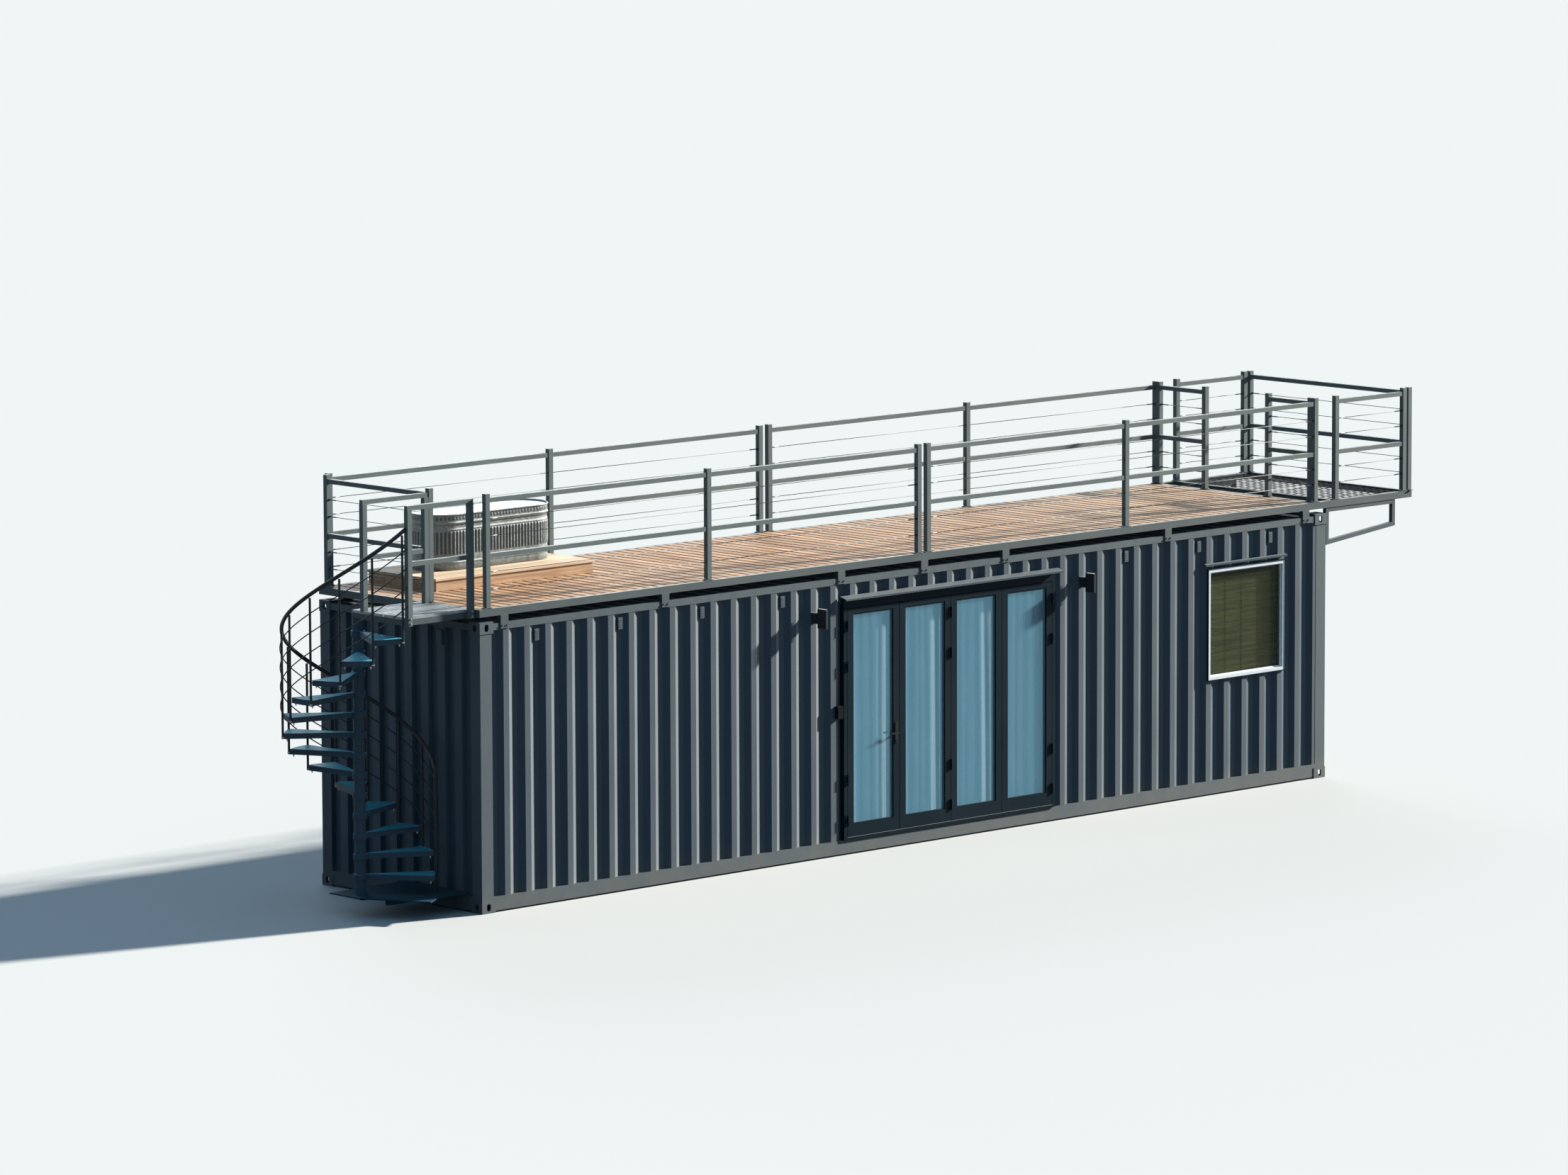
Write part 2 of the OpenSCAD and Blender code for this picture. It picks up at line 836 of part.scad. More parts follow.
// The frame of one leaf from x0, with its glass opening cut out
module leaf_frame(x0) {
    difference() {
        box([x0, leaf_y0, leaf_z0], [x0 + leaf_w, leaf_y1, leaf_z1]);
        leaf_pane(x0, leaf_y0 - eps, leaf_y1 + eps);
    }
}

module leaf_pane(x0, y0, y1) {
    box([x0 + stile, y0, leaf_z0 + leaf_bottom], [x0 + leaf_w - stile, y1, leaf_z1 - leaf_top]);
}

module glass_unit(x0) {
    mid = (leaf_y0 + leaf_y1) / 2;
    leaf_pane(x0, mid - glass_t / 2, mid + glass_t / 2);
}

barrel_h = (hinge_h - 2 * barrel_gap) / 3;

// The door half of each hinge of the entry door: a plate on the leaf and the middle barrel
module entry_door() {
    color("#2a2724")
        difference() {
            union() {
                leaf_frame(leaves_x0);
                for (z = hinge_zs) {
                    translate([pivot_x, pivot_y, z + barrel_h + barrel_gap])
                        cylinder(r = barrel_r, h = barrel_h);
                    box([pivot_x, leaf_y0 - hinge_t, z + barrel_h + barrel_gap],
                        [leaves_x0 + hinge_w, leaf_y0, z + 2 * barrel_h + barrel_gap]);
                }
            }
            for (z = hinge_zs)
                translate([pivot_x, pivot_y, z])
                    cylinder(r = pin_r + pin_gap, h = hinge_h);
        }
}

module entry_door_glass() {
    color("#b9cfe0")
        glass_unit(leaves_x0);
}

module entry_door_handle() {
    hx = leaves_x0 + leaf_w - stile / 2;
    color("#b6b9ba")
        for (side = [[leaf_y0, -1], [leaf_y1, 1]])
            translate([hx, side[0], handle_z])
                mirror([0, side[1] < 0 ? 1 : 0, 0]) {
                    translate([-handle_plate / 2, 0, -handle_plate_h / 2])
                        cube([handle_plate, handle_plate_t, handle_plate_h]);
                    rotate([-90, 0, 0])
                        cylinder(r = handle_neck_r, h = lever_off + lever_t / 2);
                    translate([-lever_l, lever_off, -lever_h / 2])
                        cube([lever_l + handle_neck_r, lever_t, lever_h]);
                }
}

module folding_leaves() {
    color("#2a2724")
        for (i = [1:3])
            leaf_frame(leaf_x(i));
}

module folding_leaf_glass() {
    color("#b9cfe0")
        for (i = [1:3])
            glass_unit(leaf_x(i));
}

// A closed hinge of the folding leaves on the line x, facing out at the face y
module fold_hinge(x, y, z, out) {
    translate([x, y, z])
        mirror([0, out ? 0 : 1, 0]) {
            translate([-hinge_w, -hinge_t, 0]) cube([2 * hinge_w, hinge_t, hinge_h]);
            translate([0, -hinge_t - barrel_r + barrel_sink, 0]) cylinder(r = barrel_r, h = hinge_h);
        }
}

module door_hinges() {
    color("#26231f") {
        for (z = hinge_zs) {
            for (s = [0, 2])
                translate([0, 0, z + s * (barrel_h + barrel_gap)]) {
                    translate([pivot_x, pivot_y, 0])
                        cylinder(r = barrel_r, h = barrel_h);
                    box([pivot_x - hinge_w, leaf_y0 - hinge_t, 0], [pivot_x, leaf_y0, barrel_h]);
                }
            translate([pivot_x, pivot_y, z])
                cylinder(r = pin_r, h = hinge_h);
            fold_hinge(leaf_x(2) - leaf_gap / 2, leaf_y0, z, true);
            fold_hinge(leaf_x(3) - leaf_gap / 2, leaf_y1, z, false);
            fold_hinge(leaves_x1 + leaf_gap / 2, leaf_y0, z, true);
        }
    }
}

module door_curtains() {
    y0 = leaf_y1 + curtain_gap;
    color("#c9d8e4")
        for (i = [0:3])
            box([leaf_x(i) + stile / 2, y0, floor_z + sill_h + curtain_up],
                [leaf_x(i) + leaf_w - stile / 2, y0 + curtain_t, door_top - frame_face - track]);
}

module curtain_track() {
    y0 = leaf_y1 + curtain_gap + (curtain_t - track) / 2;
    color("#dcdcd8")
        box([leaves_x0, y0, door_top - frame_face - track],
            [leaves_x1, y0 + track, door_top - frame_face]);
}

// A square ring round the window, a in from the opening and w wide
module window_ring(a, w, y0, y1) {
    difference() {
        box([window_x + a, y0, window_z + a],
            [window_x + window_s - a, y1, window_z + window_s - a]);
        box([window_x + a + w, y0 - eps, window_z + a + w],
            [window_x + window_s - a - w, y1 + eps, window_z + window_s - a - w]);
    }
}

module window_casing() {
    color("#2b3338")
        window_ring(0, casing_w, -frame_out, lining_y);
}

module window_frame() {
    color("#c6d5df")
        window_ring(casing_w, sash_w, -sash_out, sash_t - sash_out);
}

module window_glass() {
    a = casing_w + sash_w;
    y0 = glass_in - sash_out;
    color("#9fb4bf")
        box([window_x + a, y0, window_z + a],
            [window_x + window_s - a, y0 + glass_t, window_z + window_s - a]);
}

module window_blind() {
    a = casing_w;
    color("#5d5638")
        box([window_x + a + blind_side, blind_back, window_z + a + blind_up],
            [window_x + window_s - a - blind_side, blind_back + blind_t, window_z + window_s - a]);
}

// A bent strip over an opening from x0 to x1, its back on the wall at z
module drip_cap(x0, x1, z, reach) {
    fall = reach * tan(cap_angle);
    translate([x0, 0, 0])
        rotate([90, 0, 90])
            linear_extrude(x1 - x0)
                polygon([[flat_back, z], [flat_back - reach, z - fall],
                    [flat_back - reach, z - fall - cap_lip],
                    [flat_back - reach + cap_t, z - fall - cap_lip],
                    [flat_back - reach + cap_t, z - fall - cap_t], [flat_back, z - cap_t]]);
}

module drip_caps() {
    color("#8d979e") {
        drip_cap(door_x - cap_left, door_x1 + cap_right,
            door_top + cap_rise + cap_t + cap_reach * tan(cap_angle), cap_reach);
        drip_cap(window_x - window_cap_left, window_x + window_s + window_cap_right,
            window_z + window_s + cap_t + cap_up, cap_out);
    }
}

// Middle of inner flat k of the side wall
function inner_x(k) = side_x0 + k * side_pitch + side_flat + side_slope + side_flat_in / 2;

// The lamps stand in the recesses next to the doors
module wall_lamps() {
    left = floor((door_x - inner_x(0)) / side_pitch);
    right = ceil((door_x1 - inner_x(0)) / side_pitch) + 1;
    color("#9ea6aa")
        for (k = [left, right])
            translate([inner_x(k) - side_pitch / 2, 0, door_top - lamp_drop]) {
                box([-lamp_w / 2, -lamp_d, -lamp_h / 2], [lamp_w / 2, -lamp_gap, lamp_h / 2]);
                box([-lamp_foot_w / 2, -lamp_gap, -lamp_foot_h / 2],
                    [lamp_foot_w / 2, flat_back, lamp_foot_h / 2]);
            }
}

module wall_vents() {
    color("#2b353c") {
        front_and_back()
            for (k = [1, 5, 9, 13, side_count - 11, side_count - 7, side_count - 3])
                translate([inner_x(k) - vent_w / 2, in_y - vent_t, top_rail_z - vent_drop - vent_h])
                    cube([vent_w, vent_t, vent_h]);
        both_ends()
            translate([flat_back - vent_t,
                post_y + end_margin + end_pitch + end_slope + (end_flat - end_vent_w) / 2,
                top_rail_z - end_vent_drop - end_vent_h])
                cube([vent_t, end_vent_w, end_vent_h]);
    }
}

module key_box() {
    x1 = door_x - key_gap;
    color("#14181b")
        box([x1 - key_w, flat_back - key_d, key_z], [x1, flat_back, key_z + key_h]);
}

module deck_standoffs() {
    color("#46535b")
        front_and_back()
            for (x = standoff_xs)
                translate([x - standoff_w / 2, 0, 0]) {
                    box([0, skin - standoff_t, top_z - standoff_lap],
                        [standoff_w, skin, beam_z]);
                    box([0, skin, top_z], [standoff_w, skin + beam_w, beam_z]);
                }
}

module deck_frame() {
    color("#3f4c54")
        difference() {
            box([0, 0, beam_z], [deck_x1, box_w, deck_z]);
            box([beam_w, beam_w, beam_z - eps], [end_beam_x, box_w - beam_w, deck_z + eps]);
            box([end_beam_x + beam_w, beam_w, beam_z - eps],
                [deck_x1 + eps, box_w - beam_w, deck_z + eps]);
        }
}

module deck_joists() {
    step = (box_w - 2 * beam_w) / (joist_count + 1);
    color("#2d353a")
        for (i = [1:joist_count])
            translate([0, beam_w + i * step - joist_w / 2, 0])
                box([beam_w, 0, beam_z], [end_beam_x, joist_w, deck_z - board_t]);
}

module deck_boards() {
    color("#c89a66")
        box([beam_w, beam_w, deck_z - board_t], [end_beam_x, box_w - beam_w, deck_z]);
}

// A railing panel along X with posts at xs, standing on the deck
module panel(xs) {
    inset = (beam_w - rail_s) / 2;
    last = len(xs) - 1;
    for (x = xs)
        translate([x - beam_w / 2, 0, deck_z]) cube([beam_w, beam_w, rail_post_h]);
    for (i = [0:last - 1]) {
        a = xs[i] + beam_w / 2;
        b = xs[i + 1] - beam_w / 2;
        for (h = [rail_top, rail_mid])
            translate([a, inset, deck_z + h - rail_s]) cube([b - a, rail_s, rail_s]);
        for (h = cable_zs)
            translate([a, beam_w / 2, deck_z + h])
                rotate([0, 90, 0])
                    cylinder(r = cable_r, h = b - a, $fn = 16);
    }
}

// The same panel turned to run along Y with posts at ys, its outer face at x
module panel_y(x, ys) {
    translate([x, 0, 0])
        rotate(90)
            mirror([0, 1, 0])
                panel(ys);
}

module front_railing() {
    color("#56636a") {
        panel(posts_left);
        panel(reversed(posts_right));
    }
}

module back_railing() {
    color("#56636a")
        translate([0, box_w, 0])
            mirror([0, 1, 0]) {
                panel(posts_left);
                panel(reversed(posts_right));
            }
}

module end_railings() {
    color("#56636a") {
        first = beam_w + post_gap + beam_w / 2;
        panel_y(0, [landing_rail_y + beam_w / 2, box_w - end_rail_back - beam_w / 2]);
        panel_y(end_beam_x, [first, short_front]);
        panel_y(end_beam_x, [box_w - short_back, box_w - first]);
    }
}

module platform_frame() {
    color("#3f4c54")
        difference() {
            box([deck_x1, 0, beam_z], [platform_x1, box_w, deck_z]);
            box([deck_x1 + beam_w, beam_w, beam_z - eps],
                [platform_x1 - beam_w, box_w - beam_w, deck_z + eps]);
        }
}

// A flat net from x0 to x1 between the side beams
module net(x0, x1) {
    w = x1 - x0;
    d = box_w - 2 * beam_w;
    nx = max(1, round(w / net_mesh));
    ny = round(d / net_mesh);
    mx = (w - net_t) / nx;
    my = (d - net_t) / ny;
    translate([x0, beam_w, deck_z - net_drop])
        linear_extrude(net_t)
            difference() {
                square([w, d]);
                for (i = [0:nx - 1], j = [0:ny - 1])
                    translate([net_t + i * mx, net_t + j * my])
                        square([mx - net_t, my - net_t]);
            }
}

module platform_net() {
    color("#16191b") {
        net(end_beam_x + beam_w, deck_x1);
        net(deck_x1 + beam_w, platform_x1 - beam_w);
    }
}

// One bracket: a truss in the XZ plane against the container end
module bracket() {
    x0 = box_l;
    x1 = box_l + truss_l;
    z1 = beam_z;
    slope = atan((truss_h - truss_tip) / truss_l);
    chord = truss_s / cos(slope);
    rotate([90, 0, 0])
        mirror([0, 0, 1])
            linear_extrude(truss_s)
                difference() {
                    polygon([[x0, z1 - truss_h], [x1, z1 - truss_tip], [x1, z1], [x0, z1]]);
                    polygon([[x0 + truss_s, z1 - truss_h + chord + truss_s * tan(slope)],
                        [x1 - truss_s, z1 - truss_tip + chord - truss_s * tan(slope)],
                        [x1 - truss_s, z1 - truss_s], [x0 + truss_s, z1 - truss_s]]);
                }
}

module platform_brackets() {
    color("#35424a")
        front_and_back()
            translate([0, skin, 0])
                bracket();
}

module platform_railings() {
    start = deck_x1 + platform_post + beam_w / 2;
    corner = platform_x1 - beam_w - joint_gap - beam_w / 2;
    color("#4d5a61") {
        front_and_back()
            panel([start, corner]);
        translate([platform_x1, 0, 0])
            mirror([1, 0, 0])
                panel_y(0, [beam_w / 2 + panel_gap, box_w - beam_w / 2 - panel_gap]);
    }
}

module landing_frame() {
    color("#3f4c54")
        difference() {
            box([-landing_l, landing_y0, landing_z - landing_h], [0, landing_y1, landing_z]);
            box([beam_w - landing_l, landing_y0 + beam_w, landing_z - landing_h - eps],
                [-beam_w, landing_rail_y, landing_z + eps]);
        }
}

module landing_planks() {
    color("#a9b0b3")
        box([-landing_l, landing_y0, landing_z], [0, landing_y1, deck_z]);
}

// The two side rails of the landing, each with a post at both ends
module landing_railings() {
    inset = (beam_w - rail_s) / 2;
    z0 = landing_z - landing_h;
    x0 = -landing_l;
    x1 = -beam_w - landing_post_gap;
    color("#56636a")
        for (side = [[landing_y0 - beam_w, z0], [landing_rail_y, deck_z]]) {
            for (x = [x0, x1])
                box([x, side[0], side[1]], [x + beam_w, side[0] + beam_w, deck_z + rail_top - rail_s]);
            box([x0, side[0] + inset, deck_z + rail_top - rail_s],
                [x1 + beam_w, side[0] + inset + rail_s, deck_z + rail_top]);
            box([x0 + beam_w, side[0] + inset, deck_z + rail_mid - rail_s],
                [x1, side[0] + inset + rail_s, deck_z + rail_mid]);
        }
}

module stair_foot() {
    color("#27404e") {
        translate([0, 0, foot_z - foot_t])
            linear_extrude(foot_t)
                polygon([[-skin, foot_front], [-foot_turn, foot_front], [-foot_nose_x, foot_nose_y],
                    [-column_x - foot_left, column_y - foot_cut],
                    [-column_x - foot_left, column_y + foot_back], [-skin, column_y + foot_back]]);
        for (y = [column_y - foot_arm_step, column_y])
            box([-column_x, y - foot_arm / 2, rail_z1 - foot_lap],
                [skin, y + foot_arm / 2, foot_z - foot_t]);
    }
}

module stair_column() {
    color("#2c3a44")
        translate([-column_x, column_y, foot_z])
            difference() {
                cylinder(r = column_r, h = landing_z - landing_h - foot_z);
                translate([0, 0, -eps])
                    cylinder(r = column_r - column_t, h = landing_z);
            }
}

// A slice of a circle, half the angle to each side of +X
module slice(r, half) {
    intersection() {
        circle(r = r, $fn = 96);
        polygon([[0, 0], [2 * r, -2 * r * tan(half)], [2 * r, 2 * r * tan(half)]]);
    }
}

// A pan-shaped tread: a plate with a skirt all round, seated on the column
module tread() {
    half = tread_angle / 2;
    shift = tread_t / sin(half);
    difference() {
        translate([0, 0, -tread_h])
            linear_extrude(tread_h)
                difference() {
                    union() {
                        slice(tread_r, half);
                        circle(r = column_r + collar_t);
                    }
                    circle(r = column_r + seat_gap);
                }
        translate([0, 0, -tread_h - eps])
            linear_extrude(tread_h - tread_t + eps)
                difference() {
                    intersection() {
                        translate([shift, 0]) slice(tread_r, half);
                        circle(r = tread_r - tread_t, $fn = 96);
                    }
                    circle(r = column_r + collar_t + tread_t);
                }
    }
}

module at_tread(i) {
    translate([-column_x, column_y, foot_z + i * rise])
        rotate(tread_first + (i - 1) * tread_step)
            children();
}

module stair_treads() {
    color("#2f4653")
        for (i = [1:tread_count])
            at_tread(i)
                tread();
}

// The helix that the handrail and the rods follow, h over the line of the treads
function helix(a, r, h) = [-column_x + r * cos(a), column_y + r * sin(a),
    foot_z + rise * (1 + (a - tread_first) / tread_step) + h];

// Height of the top of a post of radius r on the line, under the sloping handrail
function post_top(r, line) = handrail_h + rise * baluster_turn / tread_step
    - handrail_r / cos(slope_at(line)) - r * tan(slope_at(line)) - seat_gap;

// A newel post on the foot plate, and a baluster outside the rim at the upper corner of each tread
module stair_balusters() {
    color("#2f3d47") {
        at_tread(1)
            rotate(baluster_turn)
                translate([newel_line, 0, -rise])
                    cylinder(r = newel_r, h = rise + post_top(newel_r, newel_line));
        for (i = [2:tread_count])
            at_tread(i)
                rotate(baluster_turn)
                    translate([baluster_line, 0, -tread_h])
                        cylinder(r = baluster_r, h = tread_h + post_top(baluster_r, baluster_line));
    }
}

// A round bar of n sides swept along the helix from angle a0 to a1, its ends upright
module helix_bar(r, line, h, a0, a1, n, rings) {
    tall = r / cos(slope_at(line));
    pts = [for (j = [0:rings]) let (a = a0 + (a1 - a0) * j / rings, c = helix(a, line, h))
        for (k = [0:n - 1]) let (t = (k + 0.5) * 360 / n)
            c + [r * cos(t) * cos(a), r * cos(t) * sin(a), tall * sin(t)]];
    faces = concat(
        [[for (k = [0:n - 1]) k]],
        [for (j = [0:rings - 1], k = [0:n - 1])
            [j * n + k, (j + 1) * n + k, (j + 1) * n + (k + 1) % n, j * n + (k + 1) % n]],
        [[for (k = [n - 1:-1:0]) rings * n + k]]);
    polyhedron(pts, faces);
}

module stair_handrail() {
    color("#2f3d47")
        helix_bar(handrail_r, baluster_line, handrail_h, rail_start, rail_end, 12, 72);
}

// The rods run outside the balusters from the newel post to the landing post
module stair_rods() {
    color("#2f3d47")
        for (i = [1:rod_count])
            helix_bar(rod_r, rod_line, handrail_h * i / (rod_count + 1), rod_start, rod_end, 8, 64);
}

module tub_plinth() {
    x1 = plinth_x + plinth_l;
    y1 = plinth_y + plinth_w;
    z1 = deck_z + plinth_h;
    color("#d7b27c") {
        box([plinth_x, plinth_y, z1 - plinth_t], [x1, y1, z1]);
        difference() {
            box([plinth_x + plinth_over, plinth_y + plinth_over, deck_z],
                [x1 - plinth_over, y1 - plinth_over, z1 - plinth_t]);
            box([plinth_x + plinth_over + timber, plinth_y + plinth_over + timber, deck_z - eps],
                [x1 - plinth_over - timber, y1 - plinth_over - timber, z1 - plinth_t]);
        }
    }
}

// Places and directions along the outline of an oblong, s from its first round end
function oblong_at(s, l, w) =
    let (line = l - w, arc = PI * w / 2, u = s % (2 * (line + arc)))
    u < arc ? [line / 2 + w / 2 * sin(u / arc * 180), -w / 2 * cos(u / arc * 180)] :
    u < arc + line ? [line / 2 - (u - arc), w / 2] :
    u < 2 * arc + line ? [-line / 2 - w / 2 * sin((u - arc - line) / arc * 180),
        w / 2 * cos((u - arc - line) / arc * 180)] :
    [-line / 2 + (u - 2 * arc - line), -w / 2];

module tub() {
    l = tub_l - 2 * rim_out;
    w = tub_w - 2 * rim_out;
    around = 2 * (l - w) + PI * w;
    count = floor(around / rib_pitch);
    color("#b9bfc1")
        translate([tub_x, tub_y, deck_z + plinth_h])
            difference() {
                union() {
                    linear_extrude(tub_h) oblong(l, w);
                    translate([0, 0, tub_h - rim_h])
                        linear_extrude(rim_h) oblong(tub_l, tub_w);
                    for (z = [bead_top, bead_low])
                        translate([0, 0, z])
                            linear_extrude(bead_h) oblong(l + rim_out, w + rim_out);
                    translate([0, 0, rib_z0])
                        linear_extrude(rib_z1 - rib_z0)
                            for (i = [0:count - 1])
                                translate(oblong_at(i * around / count, l, w))
                                    circle(r = rib_r, $fn = 16);
                }
                translate([0, 0, tub_floor])
                    linear_extrude(tub_h) oblong(l - 2 * tub_t, w - 2 * tub_t);
            }
}

corner_castings();
corner_posts();
frame_rails();
cross_members();
front_wall_left();
front_wall_over_doors();
front_wall_right();
back_wall();
end_walls();
roof_panel();
floor_sheet();  // floor
wall_lining();
ceiling();
door_frame();
entry_door();
entry_door_glass();
entry_door_handle();
folding_leaves();
folding_leaf_glass();
door_hinges();
door_curtains();
curtain_track();
window_casing();
window_frame();
window_glass();
window_blind();
drip_caps();
wall_lamps();
wall_vents();
key_box();
deck_standoffs();
deck_frame();
deck_joists();
deck_boards();
front_railing();
back_railing();
end_railings();
platform_frame();
platform_net();
platform_brackets();
platform_railings();
landing_frame();
landing_planks();
landing_railings();
stair_foot();
stair_column();
stair_treads();
stair_balusters();
stair_handrail();
stair_rods();
tub_plinth();
tub();
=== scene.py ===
import math
import bpy
import numpy as np
from mathutils import Matrix, Vector


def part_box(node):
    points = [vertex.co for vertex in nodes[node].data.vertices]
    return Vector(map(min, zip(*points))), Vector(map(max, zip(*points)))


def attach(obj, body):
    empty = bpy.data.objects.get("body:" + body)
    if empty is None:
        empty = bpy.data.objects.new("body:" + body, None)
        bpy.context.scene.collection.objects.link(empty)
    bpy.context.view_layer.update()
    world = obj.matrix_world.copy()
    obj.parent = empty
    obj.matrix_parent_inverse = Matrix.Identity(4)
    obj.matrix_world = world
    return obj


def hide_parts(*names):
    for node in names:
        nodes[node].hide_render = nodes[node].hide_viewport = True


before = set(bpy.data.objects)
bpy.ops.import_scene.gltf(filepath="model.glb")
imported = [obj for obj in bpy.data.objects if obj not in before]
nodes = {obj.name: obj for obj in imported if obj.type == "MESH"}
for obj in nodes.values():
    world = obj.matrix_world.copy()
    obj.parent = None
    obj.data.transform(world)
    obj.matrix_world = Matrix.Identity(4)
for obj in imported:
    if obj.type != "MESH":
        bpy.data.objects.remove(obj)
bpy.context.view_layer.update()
scene = bpy.context.scene
scene.view_settings.view_transform = "Standard"
for name in ("Cube", "Light", "Camera"):
    spare = bpy.data.objects.get(name)
    if spare:
        bpy.data.objects.remove(spare, do_unlink=True)
print("frame loaded:", len(nodes), "nodes")


def hexColor(text, alpha=1.0):
    # an sRGB hex value turned to linear, channel by channel
    parts = [int(text[i:i + 2], 16) / 255 for i in (1, 3, 5)]
    return tuple(c / 12.92 if c <= 0.04045 else ((c + 0.055) / 1.055) ** 2.4 for c in parts) + (alpha,)


def addNode(tree, kind, inputs=None, **settings):
    # one shader node with its settings; an input is a value, a socket, or a node whose first live output feeds it
    node = tree.nodes.new("ShaderNode" + kind)
    for key, value in settings.items():
        setattr(node, key, value)
    for key, value in (inputs or {}).items():
        lead(tree, value, node.inputs[key])
    return node


def lead(tree, source, socket):
    # a socket is fed by a socket or a node, or simply gets its value
    if isinstance(source, bpy.types.Node):
        source = next(out for out in source.outputs if out.enabled)
    if isinstance(source, bpy.types.NodeSocket):
        tree.links.new(source, socket)
    else:
        socket.default_value = source


def lowHigh(node):
    low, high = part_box(node)
    return np.array(low), np.array(high)


def boxes(lows, highs):
    # eight corners of each box between its two far corners, and six outward faces a box
    lows, highs = np.atleast_2d(np.array(lows, float)), np.atleast_2d(np.array(highs, float))
    pick = np.array([[i & 1, i >> 1 & 1, i >> 2 & 1] for i in range(8)])
    points = lows[:, None] + (highs - lows)[:, None] * pick
    quads = np.array([[0, 2, 3, 1], [4, 5, 7, 6], [0, 1, 5, 4], [2, 6, 7, 3], [0, 4, 6, 2], [1, 3, 7, 5]])
    faces = quads + 8 * np.arange(len(lows))[:, None, None]
    return points.reshape(-1, 3), faces.reshape(-1, 4).tolist()


def rods(starts, ends, radius, sides=8, endRadius=None):
    # a ring of points round each axis at its start and at its end, joined by quads and closed by caps
    starts, ends = np.atleast_2d(np.array(starts, float)), np.atleast_2d(np.array(ends, float))
    axis = (ends - starts) / np.linalg.norm(ends - starts, axis=1)[:, None]
    helper = np.where(np.abs(axis[:, 2:]) < 0.9, [[0, 0, 1]], [[1, 0, 0]])
    u = np.cross(helper, axis)
    u /= np.linalg.norm(u, axis=1)[:, None]
    v = np.cross(axis, u)
    t = 2 * np.pi * np.arange(sides) / sides
    ring = np.cos(t)[None, :, None] * u[:, None] + np.sin(t)[None, :, None] * v[:, None]
    last = radius if endRadius is None else endRadius
    points = np.stack([starts[:, None] + radius * ring, ends[:, None] + last * ring], 1).reshape(-1, 3)
    k = np.arange(sides)
    side = np.stack([k, (k + 1) % sides, sides + (k + 1) % sides, sides + k], 1)
    base = 2 * sides * np.arange(len(starts))
    faces = (side[None] + base[:, None, None]).reshape(-1, 4).tolist()
    faces += (k[::-1][None] + base[:, None]).tolist() + (sides + k[None] + base[:, None]).tolist()
    return points, faces


def bolts(places, facing, radius, height, washer=1.5):
    # hexagon heads on round washers, all facing one way
    places, facing = np.atleast_2d(np.array(places, float)), np.array(facing, float)
    disc = rods(places, places + facing * height * 0.3, radius * washer, 10)
    head = rods(places + facing * height * 0.3, places + facing * height, radius, 6)
    return join(disc, head)


def join(*parts):
    # lists of points and faces made one, each face number moved on by the points before it
    points, faces, start = [], [], 0
    for p, f in parts:
        points.append(p)
        faces += [[i + start for i in face] for face in f]
        start += len(p)
    return np.concatenate(points), faces


def gridFaces(rows, columns, closed=False):
    # quads between neighbouring rows of points; the last column meets the first when closed
    i, j = np.meshgrid(np.arange(rows - 1), np.arange(columns if closed else columns - 1), indexing="ij")
    k = (j + 1) % columns
    corners = [i * columns + j, i * columns + k, (i + 1) * columns + k, (i + 1) * columns + j]
    return np.stack(corners, -1).reshape(-1, 4).tolist()


def piece(name, shape, material, body="cabin", smooth=False, hides=(), bevel=0):
    # a mesh from points and faces, with its finish, its body and the solids that it stands for
    points, faces = shape
    mesh = bpy.data.meshes.new(name)
    mesh.from_pydata(np.asarray(points).reshape(-1, 3).tolist(), [], faces)
    mesh.polygons.foreach_set("use_smooth", np.full(len(mesh.polygons), smooth))
    mesh.materials.append(material)
    obj = bpy.data.objects.new(name, mesh)
    scene.collection.objects.link(obj)
    if bevel:
        edge = obj.modifiers.new("edges", "BEVEL")
        edge.width, edge.segments, edge.limit_method = bevel, 1, "ANGLE"
    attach(obj, body)
    if hides:
        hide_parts(*hides)
    return obj


# camera
viewPoint = {"place": (-50.480316, -57.742276, 13.641152), "yaw": 0.7572536937, "pitch": 0.1349078673,
             "roll": -0.0036648501, "lens": 181.549}
camera = bpy.data.objects.new("camera", bpy.data.cameras.new("camera"))
camera.data.lens, camera.data.sensor_width, camera.data.clip_end = viewPoint["lens"], 36, 900
look = Vector((math.sin(viewPoint["yaw"]) * math.cos(viewPoint["pitch"]),
               math.cos(viewPoint["yaw"]) * math.cos(viewPoint["pitch"]), -math.sin(viewPoint["pitch"])))
camera.matrix_world = (Matrix.Translation(viewPoint["place"]) @ look.to_track_quat("-Z", "Y").to_matrix().to_4x4()
                       @ Matrix.Rotation(viewPoint["roll"], 4, "Z"))
scene.collection.objects.link(camera)
scene.camera = camera

# low warm key from the right end, and a weak soft cool one that opens up the back
fill = {"strength": 0.34, "tone": (0.37, 0.68, 1.0, 1)}
lights = {
    "keyLight": {"side": 14, "height": 22, "strength": 12.0, "softness": 3, "tone": (1.0, 0.955, 0.86)},
    "backLight": {"side": -62, "height": 18, "strength": 1.4, "softness": 40, "tone": (0.86, 0.94, 1.0)},
}
for name, light in lights.items():
    lamp = bpy.data.objects.new(name, bpy.data.lights.new(name, "SUN"))
    lamp.data.energy, lamp.data.color = light["strength"], light["tone"]
    lamp.data.angle = math.radians(light["softness"])
    side, height = math.radians(light["side"]), math.radians(light["height"])
    towards = Vector((math.cos(side) * math.cos(height), -math.sin(side) * math.cos(height), math.sin(height)))
    lamp.rotation_euler = (-towards).to_track_quat("-Z", "Y").to_euler()
    scene.collection.objects.link(lamp)


